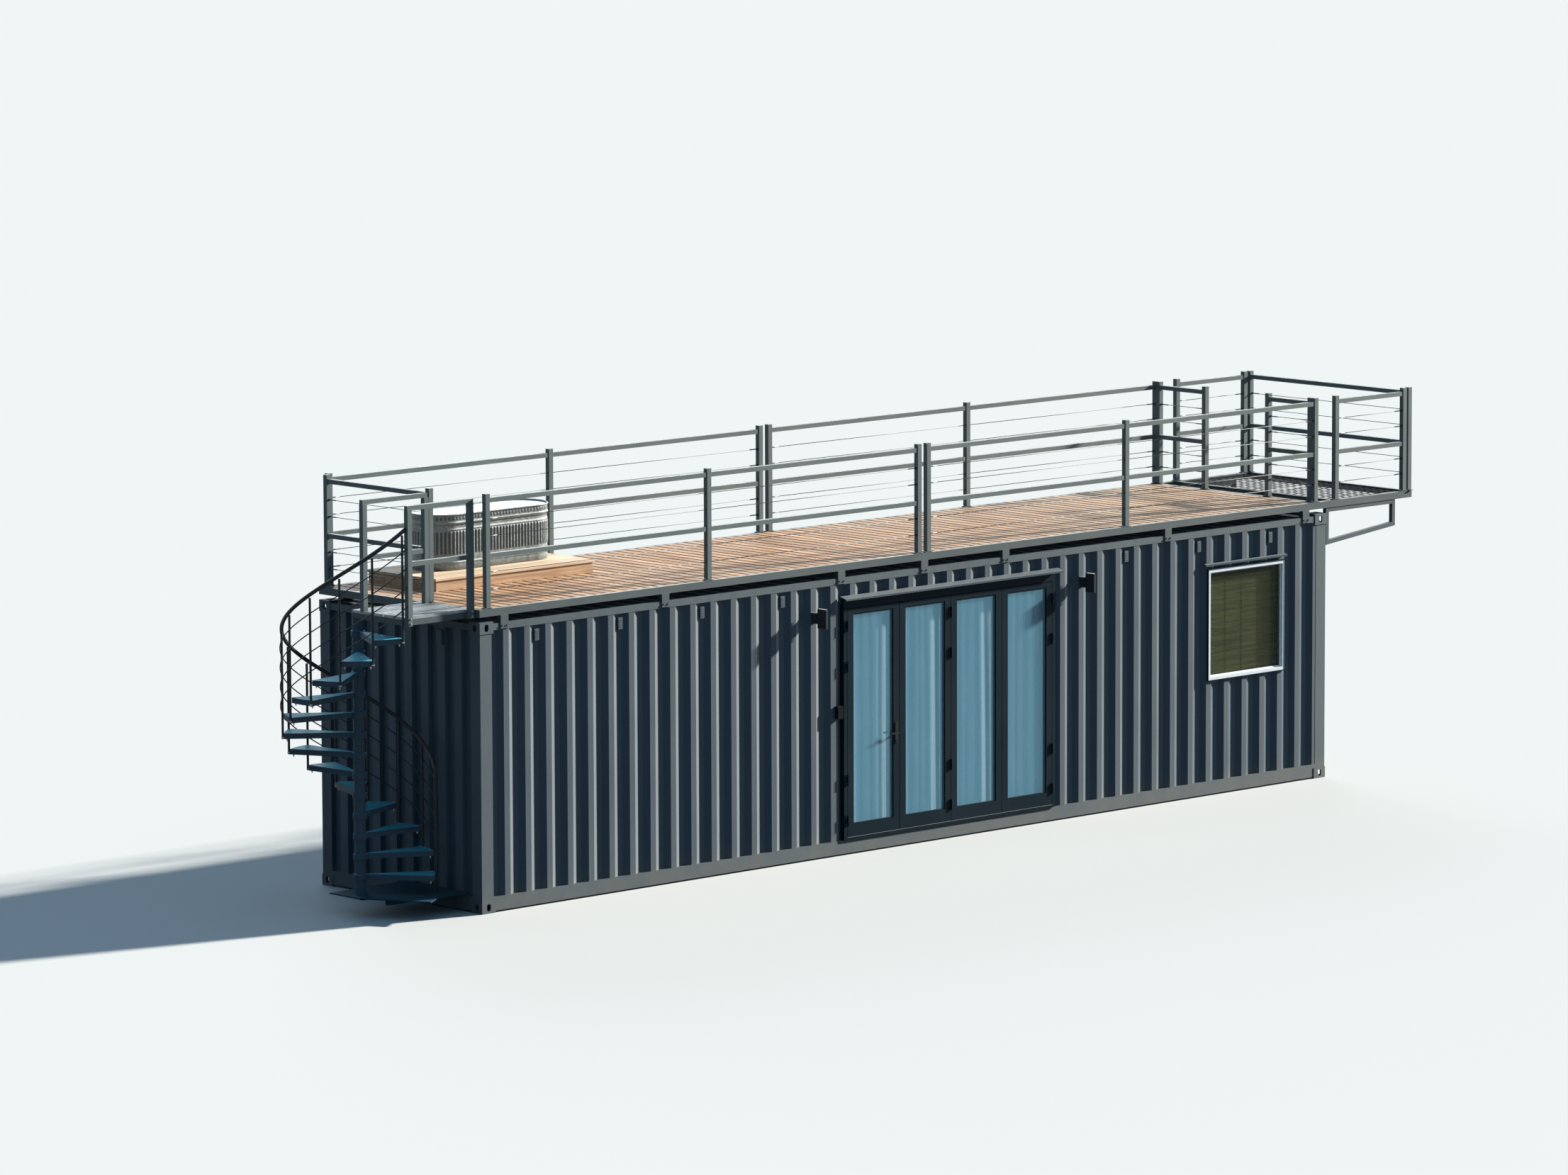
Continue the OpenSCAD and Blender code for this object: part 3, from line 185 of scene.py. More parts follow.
def seenRays(tree):
    # 1 for what the eye, a shiny surface or a clear one sees, 0 for light that bounces
    path = addNode(tree, "LightPath")
    shown = addNode(tree, "Math", {0: path.outputs["Is Glossy Ray"], 1: path.outputs["Is Transmission Ray"]},
                    operation="MAXIMUM")
    return addNode(tree, "Math", {0: path.outputs["Is Camera Ray"], 1: shown}, operation="MAXIMUM")


# soft blue fill from all round, seen as plain white
world = bpy.data.worlds.new("studio")
scene.world = world
world.use_nodes = True
tree = world.node_tree
tree.nodes.clear()
seen = seenRays(tree)
tint = addNode(tree, "Mix", {0: seen, 6: fill["tone"], 7: (1, 1, 1, 1)}, data_type="RGBA")
power = addNode(tree, "Mix", {0: seen, 2: fill["strength"], 3: 1.0}, data_type="FLOAT")
addNode(tree, "OutputWorld", {0: addNode(tree, "Background", {"Color": tint, "Strength": power})})


def newMaterial(name, fixed):
    # a Principled material; fixed holds what is the same all over the surface
    material = bpy.data.materials.new(name)
    material.use_nodes = True
    tree = material.node_tree
    tree.nodes.clear()
    shader = addNode(tree, "BsdfPrincipled", fixed)
    addNode(tree, "OutputMaterial", {0: shader})
    return material, tree, shader, addNode(tree, "TexCoord").outputs["Object"]


def drawnOut(tree, place, cells, detail=4, rough=0.5):
    # noise with its own number of cells per metre along x, y and z: rain runs, brushing or wood grain
    return addNode(tree, "TexNoise", {"Vector": addNode(tree, "Mapping", {0: place, 3: cells}), "Scale": 1.0,
                                      "Detail": detail, "Roughness": rough})


def laidOver(tree, under, over, mask, low, high, most=1.0, least=0.0):
    # a second colour laid over the first, from least to most as the mask passes from low to high
    share = addNode(tree, "MapRange", {0: mask, 1: low, 2: high, 3: least, 4: most}, interpolation_type="SMOOTHSTEP")
    return addNode(tree, "Mix", {0: share, 6: under, 7: over}, data_type="RGBA")


def finish(tree, shader, color, rough, roughBy, skin, depth):
    # colour, a roughness that follows one pattern between two values, and a skin of real depth in metres
    lead(tree, color, shader.inputs["Base Color"])
    dullness = addNode(tree, "MapRange", {0: roughBy, 1: 0.3, 2: 0.7, 3: rough[0], 4: rough[1]})
    lead(tree, dullness, shader.inputs["Roughness"])
    lead(tree, addNode(tree, "Bump", {"Height": skin, "Distance": depth}), shader.inputs["Normal"])


# floor: a matt pale sweep, so wide that its edge never shows, with grey bounce light
sweep = {"centre": 6, "radius": 420, "sides": 64, "under": 0.0005, "bounce": "#5d5c57", "shown": "#bfc1c2"}
floorMaterial, tree, shader, place = newMaterial("matt pale floor", {"Roughness": 0.95, "Specular IOR Level": 0.0})
floorColor = addNode(tree, "Mix", {0: seenRays(tree), 6: hexColor(sweep["bounce"]), 7: hexColor(sweep["shown"])},
                     data_type="RGBA")
lead(tree, floorColor, shader.inputs["Base Color"])
t = np.linspace(0, 2 * np.pi, sweep["sides"], endpoint=False)
circle = np.stack([sweep["centre"] + sweep["radius"] * np.cos(t), sweep["radius"] * np.sin(t),
                   np.full(sweep["sides"], -sweep["under"])], 1)
mesh = bpy.data.meshes.new("floorSweep")
mesh.from_pydata(circle.tolist(), [], [list(range(sweep["sides"]))])
mesh.materials.append(floorMaterial)
floor = bpy.data.objects.new("floorSweep", mesh)
scene.collection.objects.link(floor)
print("camera, light and floor set")


def paintedSteel(name, base, faded, wear=0.35, bloom=0.0, gloss=0.12, rough=(0.42, 0.56), edge=None, grain=1.0):
    # satin alkyd paint: an even colour, cloudy fading, thin rain runs, orange peel; bloom is the chalk that shows
    # at low light, held back where the eye nearly skims the surface, so that a wall seen from above stays navy
    material, tree, shader, place = newMaterial(name, {"Specular IOR Level": gloss, "Sheen Roughness": 0.4,
                                                       "Sheen Tint": hexColor("#f4efe2")})
    if bloom:
        eye = addNode(tree, "NewGeometry").outputs
        facing = addNode(tree, "VectorMath", {0: eye["Incoming"], 1: eye["Normal"]}, operation="DOT_PRODUCT")
        chalk = addNode(tree, "MapRange", {0: facing.outputs["Value"], 1: 0.23, 2: 0.33, 3: 0.05 * bloom, 4: bloom},
                        interpolation_type="SMOOTHSTEP")
        lead(tree, chalk, shader.inputs["Sheen Weight"])
    cloud = addNode(tree, "TexNoise", {"Vector": place, "Scale": 1.3, "Detail": 4})
    run = drawnOut(tree, place, (26, 26, 0.9))
    fine = addNode(tree, "TexNoise", {"Vector": place, "Scale": 60, "Detail": 3})
    color = laidOver(tree, hexColor(base), hexColor(faded), cloud, 0.35, 0.7, wear)
    color = laidOver(tree, color, hexColor(faded), run, 0.56, 0.72, wear * 0.7)
    color = laidOver(tree, color, hexColor("#8c8577"), fine, 0.62, 0.75, 0.25 * wear)
    if edge:
        color = edge(tree, place, color)
    peel = addNode(tree, "TexNoise", {"Vector": place, "Scale": 320, "Detail": 2})
    finish(tree, shader, color, rough, cloud, peel, 0.0004 * grain)
    return material


def groundSplash(tree, place, color):
    # rain throws pale dust half a metre up, and the top of a wall carries darker runs
    z = addNode(tree, "SeparateXYZ", {0: place}).outputs[2]
    low = addNode(tree, "MapRange", {0: z, 1: 0.04, 2: 0.55, 3: 0.5, 4: 0.0}, interpolation_type="SMOOTHSTEP")
    patch = addNode(tree, "TexNoise", {"Vector": place, "Scale": 5, "Detail": 5})
    splash = addNode(tree, "Math", {0: low, 1: patch}, operation="MULTIPLY")
    color = laidOver(tree, color, hexColor("#565856"), splash, 0.08, 0.35, 0.5)
    high = addNode(tree, "MapRange", {0: z, 1: 1.6, 2: 2.8, 3: 0.0, 4: 1.0}, interpolation_type="SMOOTHSTEP")
    run = addNode(tree, "Math", {0: high, 1: drawnOut(tree, place, (14, 14, 0.5), 5)}, operation="MULTIPLY")
    return laidOver(tree, color, hexColor("#2b3741"), run, 0.42, 0.75, 0.5)


def knockedEdges(tree, place, color):
    # small rust blooms where castings and rails are knocked
    spots = addNode(tree, "TexNoise", {"Vector": place, "Scale": 22, "Detail": 6, "Roughness": 0.65})
    return laidOver(tree, groundSplash(tree, place, color), hexColor("#54382a"), spots, 0.66, 0.72, 0.6)


def topWearAndSkyReflection(shade, low, high):
    # upward faces worn and dusted paler than the sides; on the stair treads the colour laid on is a painted sky
    # reflection
    def edge(tree, place, color):
        up = addNode(tree, "SeparateXYZ", {0: addNode(tree, "NewGeometry").outputs["Normal"]}).outputs[2]
        top = addNode(tree, "MapRange", {0: up, 1: 0.6, 2: 0.95}, interpolation_type="SMOOTHSTEP")
        patch = addNode(tree, "TexNoise", {"Vector": place, "Scale": 9, "Detail": 4})
        patch = addNode(tree, "MapRange", {0: patch, 1: 0.3, 2: 0.7, 3: low, 4: high})
        worn = addNode(tree, "Math", {0: top, 1: patch}, operation="MULTIPLY")
        return laidOver(tree, color, hexColor(shade), worn, 0, 1)
    return edge


def wood(name, pale, dark, grey, along, pitch, start, rough=0.62, greyFrom=None, greyMost=0.35, bumpy=1.0,
         tones=(0.74, 1.1), rim=None):
    # sawn softwood: each board its own tone, long grain along it, open pores, grey weathering; the last colour
    # darkens the board edges, edge dirt and painted shade beside the gaps
    material, tree, shader, place = newMaterial(name, {"Specular IOR Level": 0.1})
    axis = addNode(tree, "SeparateXYZ", {0: place}).outputs
    first = addNode(tree, "Math", {0: axis[0] if along == "y" else axis[1], 1: start}, operation="SUBTRACT")
    count = addNode(tree, "Math", {0: first, 1: pitch}, operation="DIVIDE")
    number = addNode(tree, "Math", {0: count}, operation="FLOOR")
    tone = addNode(tree, "TexWhiteNoise", {"W": number}, noise_dimensions="1D").outputs["Value"]
    slip = addNode(tree, "CombineXYZ", {0: addNode(tree, "Math", {0: tone, 1: 9.0}, operation="MULTIPLY"),
                                        1: addNode(tree, "Math", {0: tone, 1: 7.0}, operation="MULTIPLY"), 2: number})
    moved = addNode(tree, "VectorMath", {0: place, 1: slip}, operation="ADD")
    grain = drawnOut(tree, moved, {"x": (1.6, 34, 34), "y": (34, 1.6, 34)}[along], 5, 0.6)
    fibre = drawnOut(tree, moved, {"x": (6, 190, 190), "y": (190, 6, 190)}[along], 3)
    color = laidOver(tree, hexColor(pale), hexColor(dark), grain, 0.34, 0.68)
    color = laidOver(tree, color, hexColor(dark), fibre, 0.5, 0.75, 0.45)
    shade = addNode(tree, "MapRange", {0: tone, 3: tones[0], 4: tones[1]})
    shades = addNode(tree, "CombineXYZ", {0: shade, 1: shade, 2: shade})
    color = addNode(tree, "VectorMath", {0: color, 1: shades}, operation="MULTIPLY")
    patch = addNode(tree, "TexNoise", {"Vector": place, "Scale": 1.1, "Detail": 4})
    color = laidOver(tree, color, hexColor(grey), patch, 0.35, 0.7, greyMost, 0.1)
    if greyFrom:
        color = laidOver(tree, color, hexColor(grey), axis[0], greyFrom[0], greyFrom[1], 0.45)
    # edge dirt and painted shade darken each board towards its edges
    if rim:
        across = addNode(tree, "Math", {0: count}, operation="FRACT")
        middle = addNode(tree, "Math", {0: across, 1: 0.5}, operation="SUBTRACT")
        aside = addNode(tree, "Math", {0: middle}, operation="ABSOLUTE")
        color = laidOver(tree, color, hexColor(rim), aside, 0.35, 0.43, 0.92)
    finish(tree, shader, color, (rough - 0.08, rough + 0.1), fibre, fibre, 0.0008 * bumpy)
    return material


def metalFinish(name, base, second, rough, metal=1.0, cells=(90, 90, 90), skin=500):
    # bare or plated metal with faint clouding and fine brushing
    material, tree, shader, place = newMaterial(name, {"Metallic": metal})
    cloud = drawnOut(tree, place, cells)
    color = laidOver(tree, hexColor(base), hexColor(second), cloud, 0.35, 0.65)
    pores = addNode(tree, "TexNoise", {"Vector": place, "Scale": skin, "Detail": 2})
    finish(tree, shader, color, (rough - 0.05, rough + 0.1), cloud, pores, 0.0002)
    return material


def mouldedPlastic(name, base, second, rough=0.45, gloss=0.4, skin=300):
    # moulded plastic or rubber: even colour, a fine pebbled skin
    material, tree, shader, place = newMaterial(name, {"Specular IOR Level": gloss})
    cloud = addNode(tree, "TexNoise", {"Vector": place, "Scale": 12, "Detail": 3})
    color = laidOver(tree, hexColor(base), hexColor(second), cloud, 0.35, 0.65)
    pebbles = addNode(tree, "TexNoise", {"Vector": place, "Scale": skin, "Detail": 2})
    finish(tree, shader, color, (rough - 0.04, rough + 0.08), cloud, pebbles, 0.0003)
    return material


def galvanised(name, pale, dark, stain, valleyShade):
    # hot dip galvanised sheet: spangles about 14 mm across in close greys, dull with a soft sheen, darker where
    # water ran, and with painted shade in the valleys between ribs and under the main bead
    material, tree, shader, place = newMaterial(name, {"Metallic": 0.25})
    cells = addNode(tree, "TexVoronoi", {"Vector": place, "Scale": 70}).outputs["Color"]
    tone = addNode(tree, "SeparateColor", {0: cells}).outputs[0]
    color = laidOver(tree, hexColor(dark), hexColor(pale), tone, 0.0, 1.0)
    color = laidOver(tree, color, hexColor(stain), drawnOut(tree, place, (22, 22, 1.2)), 0.45, 0.75, 0.55)
    valley = addNode(tree, "Attribute", attribute_name="valley").outputs["Fac"]
    # painted shade, laid dark where the valley mask marks the rib valleys and the band under the bead
    color = laidOver(tree, color, hexColor(valleyShade), valley, 0.1, 1.0, 0.85)
    finish(tree, shader, color, (0.40, 0.58), tone, tone, 0.0002)
    return material


def paneGlass(name, tint, haze, alpha, gloss):
    # float glass, thin enough to see through, with faint dried rain marks; its tint, laid over a share of the view,
    # is painted light
    material, tree, shader, place = newMaterial(name, {"Roughness": 0.03, "IOR": 1.5, "Specular IOR Level": gloss})
    marks = drawnOut(tree, place, (9, 9, 2.5))
    lead(tree, laidOver(tree, hexColor(tint), hexColor(haze), marks, 0.5, 0.8, 0.4), shader.inputs["Base Color"])
    veil = addNode(tree, "MapRange", {0: marks, 1: 0.4, 2: 0.8, 3: alpha, 4: alpha + 0.02})
    lead(tree, veil, shader.inputs["Alpha"])
    return material


# container steel: navy satin paint, dull with chalk, dusty near the ground
wallPaint = paintedSteel("weathered satin container paint", "#2e4354", "#3a4e5c", bloom=1.0, edge=groundSplash)
castPaint = paintedSteel("painted cast steel", "#334755", "#42525c", bloom=1.0, rough=(0.5, 0.65),
                         edge=knockedEdges, grain=3)
underPaint = paintedSteel("dark underseal on rolled steel", "#23292d", "#30363a", rough=(0.7, 0.8), gloss=0.1)
# welded tube of deck and railings: the same navy, thinner, dusty on top
railPaint = paintedSteel("satin paint on square tube", "#4b5a60", "#5f6c6d", bloom=1.0,
                         edge=topWearAndSkyReflection("#9da19e", 0.3, 0.8))
beamPaint = paintedSteel("satin paint on deck beams", "#39474f", "#4f5c61", bloom=0.85,
                         edge=topWearAndSkyReflection("#9a9e9b", 0.3, 0.8))
bracketPaint = paintedSteel("satin paint on brackets", "#31424f", "#3f4e59", bloom=0.8,
                            edge=topWearAndSkyReflection("#8e9697", 0.2, 0.6))
joistPaint = paintedSteel("dark primer on joists", "#24292d", "#303539", rough=(0.65, 0.75), gloss=0.1)
# stair steel: dark paint, with a painted sky reflection, teal, on its tread tops
stairPaint = paintedSteel("satin paint on stair steel", "#475865", "#52626e", bloom=0.12, gloss=0.02,
                          rough=(0.40, 0.54), edge=topWearAndSkyReflection("#4a9fb4", 0.9, 1.0))
# a darker copy of the stair paint without its top tint: painted shade, as the plate lies in shade
footShadedPaint = paintedSteel("stair paint darkened by painted shade on the foot plate", "#24404f", "#30495a", gloss=0.02, rough=(0.6, 0.7))
rodPaint = paintedSteel("black paint on round bar", "#232a31", "#34383c", bloom=0.15, wear=0.6)
capPaint = paintedSteel("folded painted flashing", "#2f404c", "#414f59", bloom=0.3, rough=(0.44, 0.56))
lampPaint = paintedSteel("graphite powder coat", "#252c31", "#323a3f", rough=(0.5, 0.6),
                         edge=topWearAndSkyReflection("#7f8586", 0.5, 0.9))
ventPaint = paintedSteel("pressed and painted vent cover", "#2e4354", "#3a4e5c", bloom=1.0)
bronze = paintedSteel("dark bronze anodised aluminium", "#14222b", "#1b2931", wear=0.2, gloss=0.04,
                      rough=(0.40, 0.50))
blackCoat = paintedSteel("satin black powder coat", "#14171a", "#1c2023", wear=0.2, rough=(0.44, 0.52))
vinyl = mouldedPlastic("white vinyl window profile", "#dfe8ee", "#d3dee6", 0.35, 0.4)
# small metal parts
swageSteel = metalFinish("satin stainless steel", "#6f7477", "#5b6063", 0.45, 0.6, (3, 3, 40))
zinc = metalFinish("bright zinc plated steel", "#969c9e", "#777d7f", 0.42, 0.6)
cableSteel = metalFinish("stainless wire rope", "#5c6265", "#3f4548", 0.5, 0.4, (260, 260, 260), 900)
plankMetal = metalFinish("ribbed mill finish aluminium", "#868f95", "#727b81", 0.5, 0.25, (20, 20, 20))
# plastics and cord
blackPlastic = mouldedPlastic("black moulded plastic", "#111518", "#191d20", 0.7, 0.03)
gasket = mouldedPlastic("black rubber gasket", "#0f1112", "#17191a", 0.7, 0.2)
netCord = mouldedPlastic("black twisted nylon cord", "#101315", "#1d2022", 0.75, 0.2, 900)
whiteTrack = mouldedPlastic("white powder coated track", "#dcdedd", "#cfd2d1")
frosted = mouldedPlastic("frosted lamp lens", "#e6e8e4", "#dcdfdb", 0.5)
# timber, sheet and glass; a board is pitch wide and the first one begins at start
decking = wood("weathered cedar decking", "#caa585", "#94694a", "#9e9080", "y", pitch=11.9465 / 86, start=0.055,
               greyFrom=(4.0, 12.0), greyMost=0.3, tones=(0.66, 1.12), rim="#4a3222")
plinthWood = wood("pale new pine boards", "#dcc7b0", "#c2a485", "#c4b9aa", "x", pitch=0.1333, start=1.29,
                  greyMost=0.2)
fasciaWood = wood("sawn pine timber", "#cdae8f", "#a98060", "#ab9b88", "x", pitch=0.4, start=1.0, greyMost=0.2)
plyFloor = wood("varnished plywood floor", "#b8935f", "#94703f", "#9a8a70", "x", pitch=1.22, start=0.0, rough=0.4,
                greyMost=0.12, bumpy=0.4)
plyLining = wood("white washed plywood", "#dcd6c9", "#c9bfac", "#cfc9bd", "x", pitch=1.22, start=0.0,
                 greyMost=0.15, bumpy=0.4)
# the last colour is the painted shade in the rib valleys and under the bead
galvanisedSheet = galvanised("hot dip galvanised steel", "#848c8c", "#687070", "#535b5d", "#1c2226")
# door panes: a blue tint over a third of the view, a painted sky reflection that brightens the curtains
doorGlassSkyTint = paneGlass("double glazing with a painted sky reflection", "#76b0ca", "#8cbdd5", 0.33, 0.30)
# window panes: a dark olive tint over a third of the view, painted shade and painted reflection of the surroundings,
# which also evens out the sun on the blind
windowShadeVeil = paneGlass("window glazing with a veil of painted shade", "#3f442e", "#4a4f3c", 0.34, 0.22)

dress = {
    wallPaint: ["front_wall_left", "front_wall_over_doors", "front_wall_right", "back_wall", "end_walls",
                "roof_panel"],
    castPaint: ["corner_castings", "corner_posts", "frame_rails"],
    underPaint: ["cross_members"],
    railPaint: ["front_railing", "back_railing", "end_railings", "platform_railings", "landing_railings"],
    beamPaint: ["deck_frame", "platform_frame", "landing_frame", "deck_standoffs"],
    bracketPaint: ["platform_brackets"],
    joistPaint: ["deck_joists"],
    stairPaint: ["stair_column", "stair_treads"],
    footShadedPaint: ["stair_foot"],
    rodPaint: ["stair_balusters", "stair_handrail", "stair_rods"],
    capPaint: ["drip_caps"],
    lampPaint: ["wall_lamps"],
    ventPaint: ["wall_vents"],
    bronze: ["door_frame", "entry_door", "folding_leaves", "door_hinges", "window_casing"],
    vinyl: ["window_frame"],
    blackCoat: ["entry_door_handle"],
    blackPlastic: ["key_box"],
    netCord: ["platform_net"],
    whiteTrack: ["curtain_track"],
    decking: ["deck_boards"],
    plinthWood: ["tub_plinth"],
    plankMetal: ["landing_planks"],
    plyFloor: ["floor"],
    plyLining: ["wall_lining", "ceiling"],
    galvanisedSheet: ["tub"],
    doorGlassSkyTint: ["entry_door_glass", "folding_leaf_glass"],
    windowShadeVeil: ["window_glass"],
}
for material, names in dress.items():
    for name in names:
        nodes[name].data.materials.clear()
        nodes[name].data.materials.append(material)
print("materials made")


def boardRow(low, high, along, count, gap):
    # far corners of boards side by side in x (along 0) or y (along 1), half a gap on both sides of each
    pitch = (high[along] - low[along]) / count
    lows, highs = np.tile(low, (count, 1)), np.tile(high, (count, 1))
    lows[:, along] += pitch * np.arange(count) + gap / 2
    highs[:, along] = lows[:, along] + pitch - gap
    return lows, highs


# deck boards: one box for each, a little uneven in height, edges eased
deck = {"boards": 86, "gap": 0.020, "uneven": 0.0012, "ease": 0.004, "joists": 4, "screw": 0.0045,
        "screwIn": 0.020, "rowIn": 0.022, "sunk": 0.001, "head": 0.0016}
low, high = lowHigh("deck_boards")
lows, highs = boardRow(low, high, 0, deck["boards"], deck["gap"])
highs[:, 2] -= np.random.default_rng(7).uniform(0, deck["uneven"], deck["boards"])
piece("deckBoards", boxes(lows, highs), decking, hides=["deck_boards"], bevel=deck["ease"])
depth = high[1] - low[1]
joistRows = depth * np.arange(1, deck["joists"] + 1) / (deck["joists"] + 1)
rows = low[1] + np.concatenate([[deck["rowIn"]], joistRows, [depth - deck["rowIn"]]])
acrossBoard = np.concatenate([lows[:, 0] + deck["screwIn"], highs[:, 0] - deck["screwIn"]])
spots = np.stack(np.meshgrid(acrossBoard, rows, [high[2] - deck["sunk"]]), -1).reshape(-1, 3)
piece("deckScrews", rods(spots, spots + [0, 0, deck["head"]], deck["screw"], 6), blackPlastic)

# landing planks: ribbed walkway planks along x, closed ends, three ribs each
landing = {"planks": 5, "gap": 0.016, "ribs": 3, "rib": 0.004, "ribAside": 0.18, "ribShare": 0.64}
low, high = lowHigh("landing_planks")
lows, highs = boardRow(low, high, 1, landing["planks"], landing["gap"])
highs[:, 2] -= landing["rib"]
step = (highs[0, 1] - lows[0, 1]) / landing["ribs"]
ribLow, ribHigh = np.repeat(lows, landing["ribs"], 0), np.repeat(highs, landing["ribs"], 0)
ribLow[:, 1] += np.tile(step * (np.arange(landing["ribs"]) + landing["ribAside"]), landing["planks"])
ribHigh[:, 1] = ribLow[:, 1] + step * landing["ribShare"]
ribLow[:, 2], ribHigh[:, 2] = high[2] - landing["rib"], high[2]
piece("landingPlanks", boxes(np.concatenate([lows, ribLow]), np.concatenate([highs, ribHigh])), plankMetal,
      hides=["landing_planks"])

# tub plinth: boards along x on a ring of timbers
plinth = {"boards": 8, "gap": 0.004, "thick": 0.026, "over": 0.015, "timber": 0.038, "ease": 0.002}
low, high = lowHigh("tub_plinth")
lows, highs = boardRow(low, high, 1, plinth["boards"], plinth["gap"])
lows[:, 2] = high[2] - plinth["thick"]
piece("plinthBoards", boxes(lows, highs), plinthWood, hides=["tub_plinth"], bevel=plinth["ease"])
a = low + [plinth["over"], plinth["over"], 0]
b = high - [plinth["over"], plinth["over"], plinth["thick"]]
w = plinth["timber"]
piece("plinthTimbers",
      boxes([[a[0], a[1], a[2]], [a[0], b[1] - w, a[2]], [a[0], a[1] + w, a[2]], [b[0] - w, a[1] + w, a[2]]],
            [[b[0], a[1] + w, b[2]], [b[0], b[1], b[2]], [a[0] + w, b[1] - w, b[2]], [b[0], b[1] - w, b[2]]]),
      fasciaWood, bevel=plinth["ease"])
print("boards laid")


# tub: a ribbed shell with straight sides, round ends and a rolled rim; heights are from its foot
tub = {"length": 1.652, "width": 0.586, "wall": 0.004, "height": 0.570, "rib": 0.0068, "ribPitch": 0.0414,
       "ribLow": 0.158, "ribHigh": 0.398, "tick": 0.003, "tickLow": 0.505, "tickHigh": 0.545, "roll": 0.008,
       "rollOut": 0.004, "foot": 0.006, "ribFade": 0.012, "tickFade": 0.005, "shade": 0.458, "shadeHalf": 0.008,
       "water": 0.557, "waterGap": 0.001, "waterSteps": 240, "waterRings": 14, "ripple": 0.0006}
# swellings of the shell, the last one hollow: bottom, top and how far out
beads = [(0.068, 0.092, 0.006), (0.464, 0.494, 0.0085), (0.404, 0.418, 0.003), (0.420, 0.463, -0.005)]
low, high = lowHigh("tub")
centre = (low + high) / 2
straight, radius = tub["length"] - tub["width"], tub["width"] / 2
around = 2 * straight + 2 * np.pi * radius
ribCount = int(round(around / tub["ribPitch"]))
columns = ribCount * 8


def oblongLine(count):
    # spine point and outward direction at even steps round a shape with straight sides and round ends
    s = around * np.arange(count) / count
    arc = np.pi * radius
    zone = np.digitize(s, [straight, straight + arc, 2 * straight + arc])
    sides = [zone == i for i in range(4)]
    turn = np.select(sides, [-np.pi / 2, -np.pi / 2 + (s - straight) / radius, np.pi / 2,
                             np.pi / 2 + (s - 2 * straight - arc) / radius])
    spine = np.select(sides, [s - straight / 2, straight / 2, straight / 2 - (s - straight - arc), -straight / 2])
    return spine, np.cos(turn), np.sin(turn), s


def bead(z, low, high, out):
    # a round swelling between two heights
    return out * np.sin(np.pi * np.clip((z - low) / (high - low), 0, 1)) ** 0.7


outerZ = np.concatenate([[0, 0.004], np.linspace(0.060, 0.105, 12), [0.13, 0.155, 0.158, 0.164, 0.172],
                         np.linspace(0.20, 0.37, 5), [0.384, 0.392, 0.398], np.linspace(0.404, 0.500, 36),
                         [0.505, 0.511, 0.539, 0.545], [0.553]])
outerOff = sum(bead(outerZ, *sizes) for sizes in beads)
outerOff[0] = -tub["foot"]
rimTurn = np.linspace(-np.pi / 2, np.pi, 13)
rimOff = tub["rollOut"] + tub["roll"] * np.cos(rimTurn)
rimZ = tub["height"] - tub["roll"] + tub["roll"] * np.sin(rimTurn)
rimOff[-1] = -tub["wall"]
innerZ = np.array([0.54, 0.30, 0.06, 0.030, 0.020, 0.020])
innerOff = -tub["wall"] + np.array([0, 0, 0, -0.008, -0.03, -radius + 0.004])
offs = np.concatenate([[-radius + 0.0005], outerOff, rimOff, innerOff])
zs = np.concatenate([[0], outerZ, rimZ, innerZ])
spine, nx, ny, s = oblongLine(columns)
# ribs: a narrowed cosine round the shell, faded in and out over their height
wave = (0.5 + 0.5 * np.cos(2 * np.pi * ribCount * s / around)) ** 1.6
inRibs = np.clip(np.minimum(zs - tub["ribLow"], tub["ribHigh"] - zs) / tub["ribFade"], 0, 1)
inTicks = np.clip(np.minimum(zs - tub["tickLow"], tub["tickHigh"] - zs) / tub["tickFade"], 0, 1)
isOuter = np.concatenate([[0], np.ones(len(outerZ)), np.zeros(len(rimOff) + len(innerZ))])
swell = tub["rib"] * inRibs[:, None] * wave[None] + tub["tick"] * inTicks[:, None] * wave[None]
off = offs[:, None] + isOuter[:, None] * swell
points = np.stack([centre[0] + spine[None] + nx[None] * (radius + off), centre[1] + ny[None] * (radius + off),
                   low[2] + zs[:, None] + 0 * off], -1)
shell = piece("tubShell", (points, gridFaces(len(zs), columns, closed=True)), galvanisedSheet,
              smooth=True, hides=["tub"])
# painted shade, strongest in a valley: between ribs, between ticks and in the band under the main bead
under = np.clip(1 - np.abs(zs - tub["shade"]) / tub["shadeHalf"], 0, 1)
between = (inRibs + inTicks)[:, None] * (1 - wave[None])
valley = isOuter[:, None] * np.maximum(between, 0.8 * under[:, None] + 0 * wave[None])
shell.data.attributes.new("valley", "FLOAT", "POINT").data.foreach_set("value", np.clip(valley, 0, 1).ravel())

# water: flat with a trace of ripple, just under the rim; real gloss, and a pale blue colour that is a painted sky
# reflection
skyPaintedWater, tree, shader, place = newMaterial("still water with a painted sky reflection", {"Roughness": 0.04, "IOR": 1.333,
                                                                       "Transmission Weight": 0.3})
ripple = addNode(tree, "TexNoise", {"Vector": place, "Scale": 6, "Detail": 2})
lead(tree, laidOver(tree, hexColor("#93b6c6"), hexColor("#adcad6"), ripple, 0.3, 0.7), shader.inputs["Base Color"])
lead(tree, addNode(tree, "Bump", {"Height": ripple, "Distance": 0.0003}), shader.inputs["Normal"])
spine, nx, ny, s = oblongLine(tub["waterSteps"])
share = np.linspace(0.001, 1, tub["waterRings"])[::-1]
reach = (radius - tub["wall"] - tub["waterGap"]) * share[:, None]
points = np.stack([centre[0] + spine[None] + nx[None] * reach, centre[1] + ny[None] * reach,
                   low[2] + tub["water"] + tub["ripple"] * np.sin(9 * spine[None] + 5 * share[:, None])], -1)
piece("tubWater", (points, gridFaces(len(share), len(spine), closed=True)), skyPaintedWater,
      smooth=True)
print("tub made")


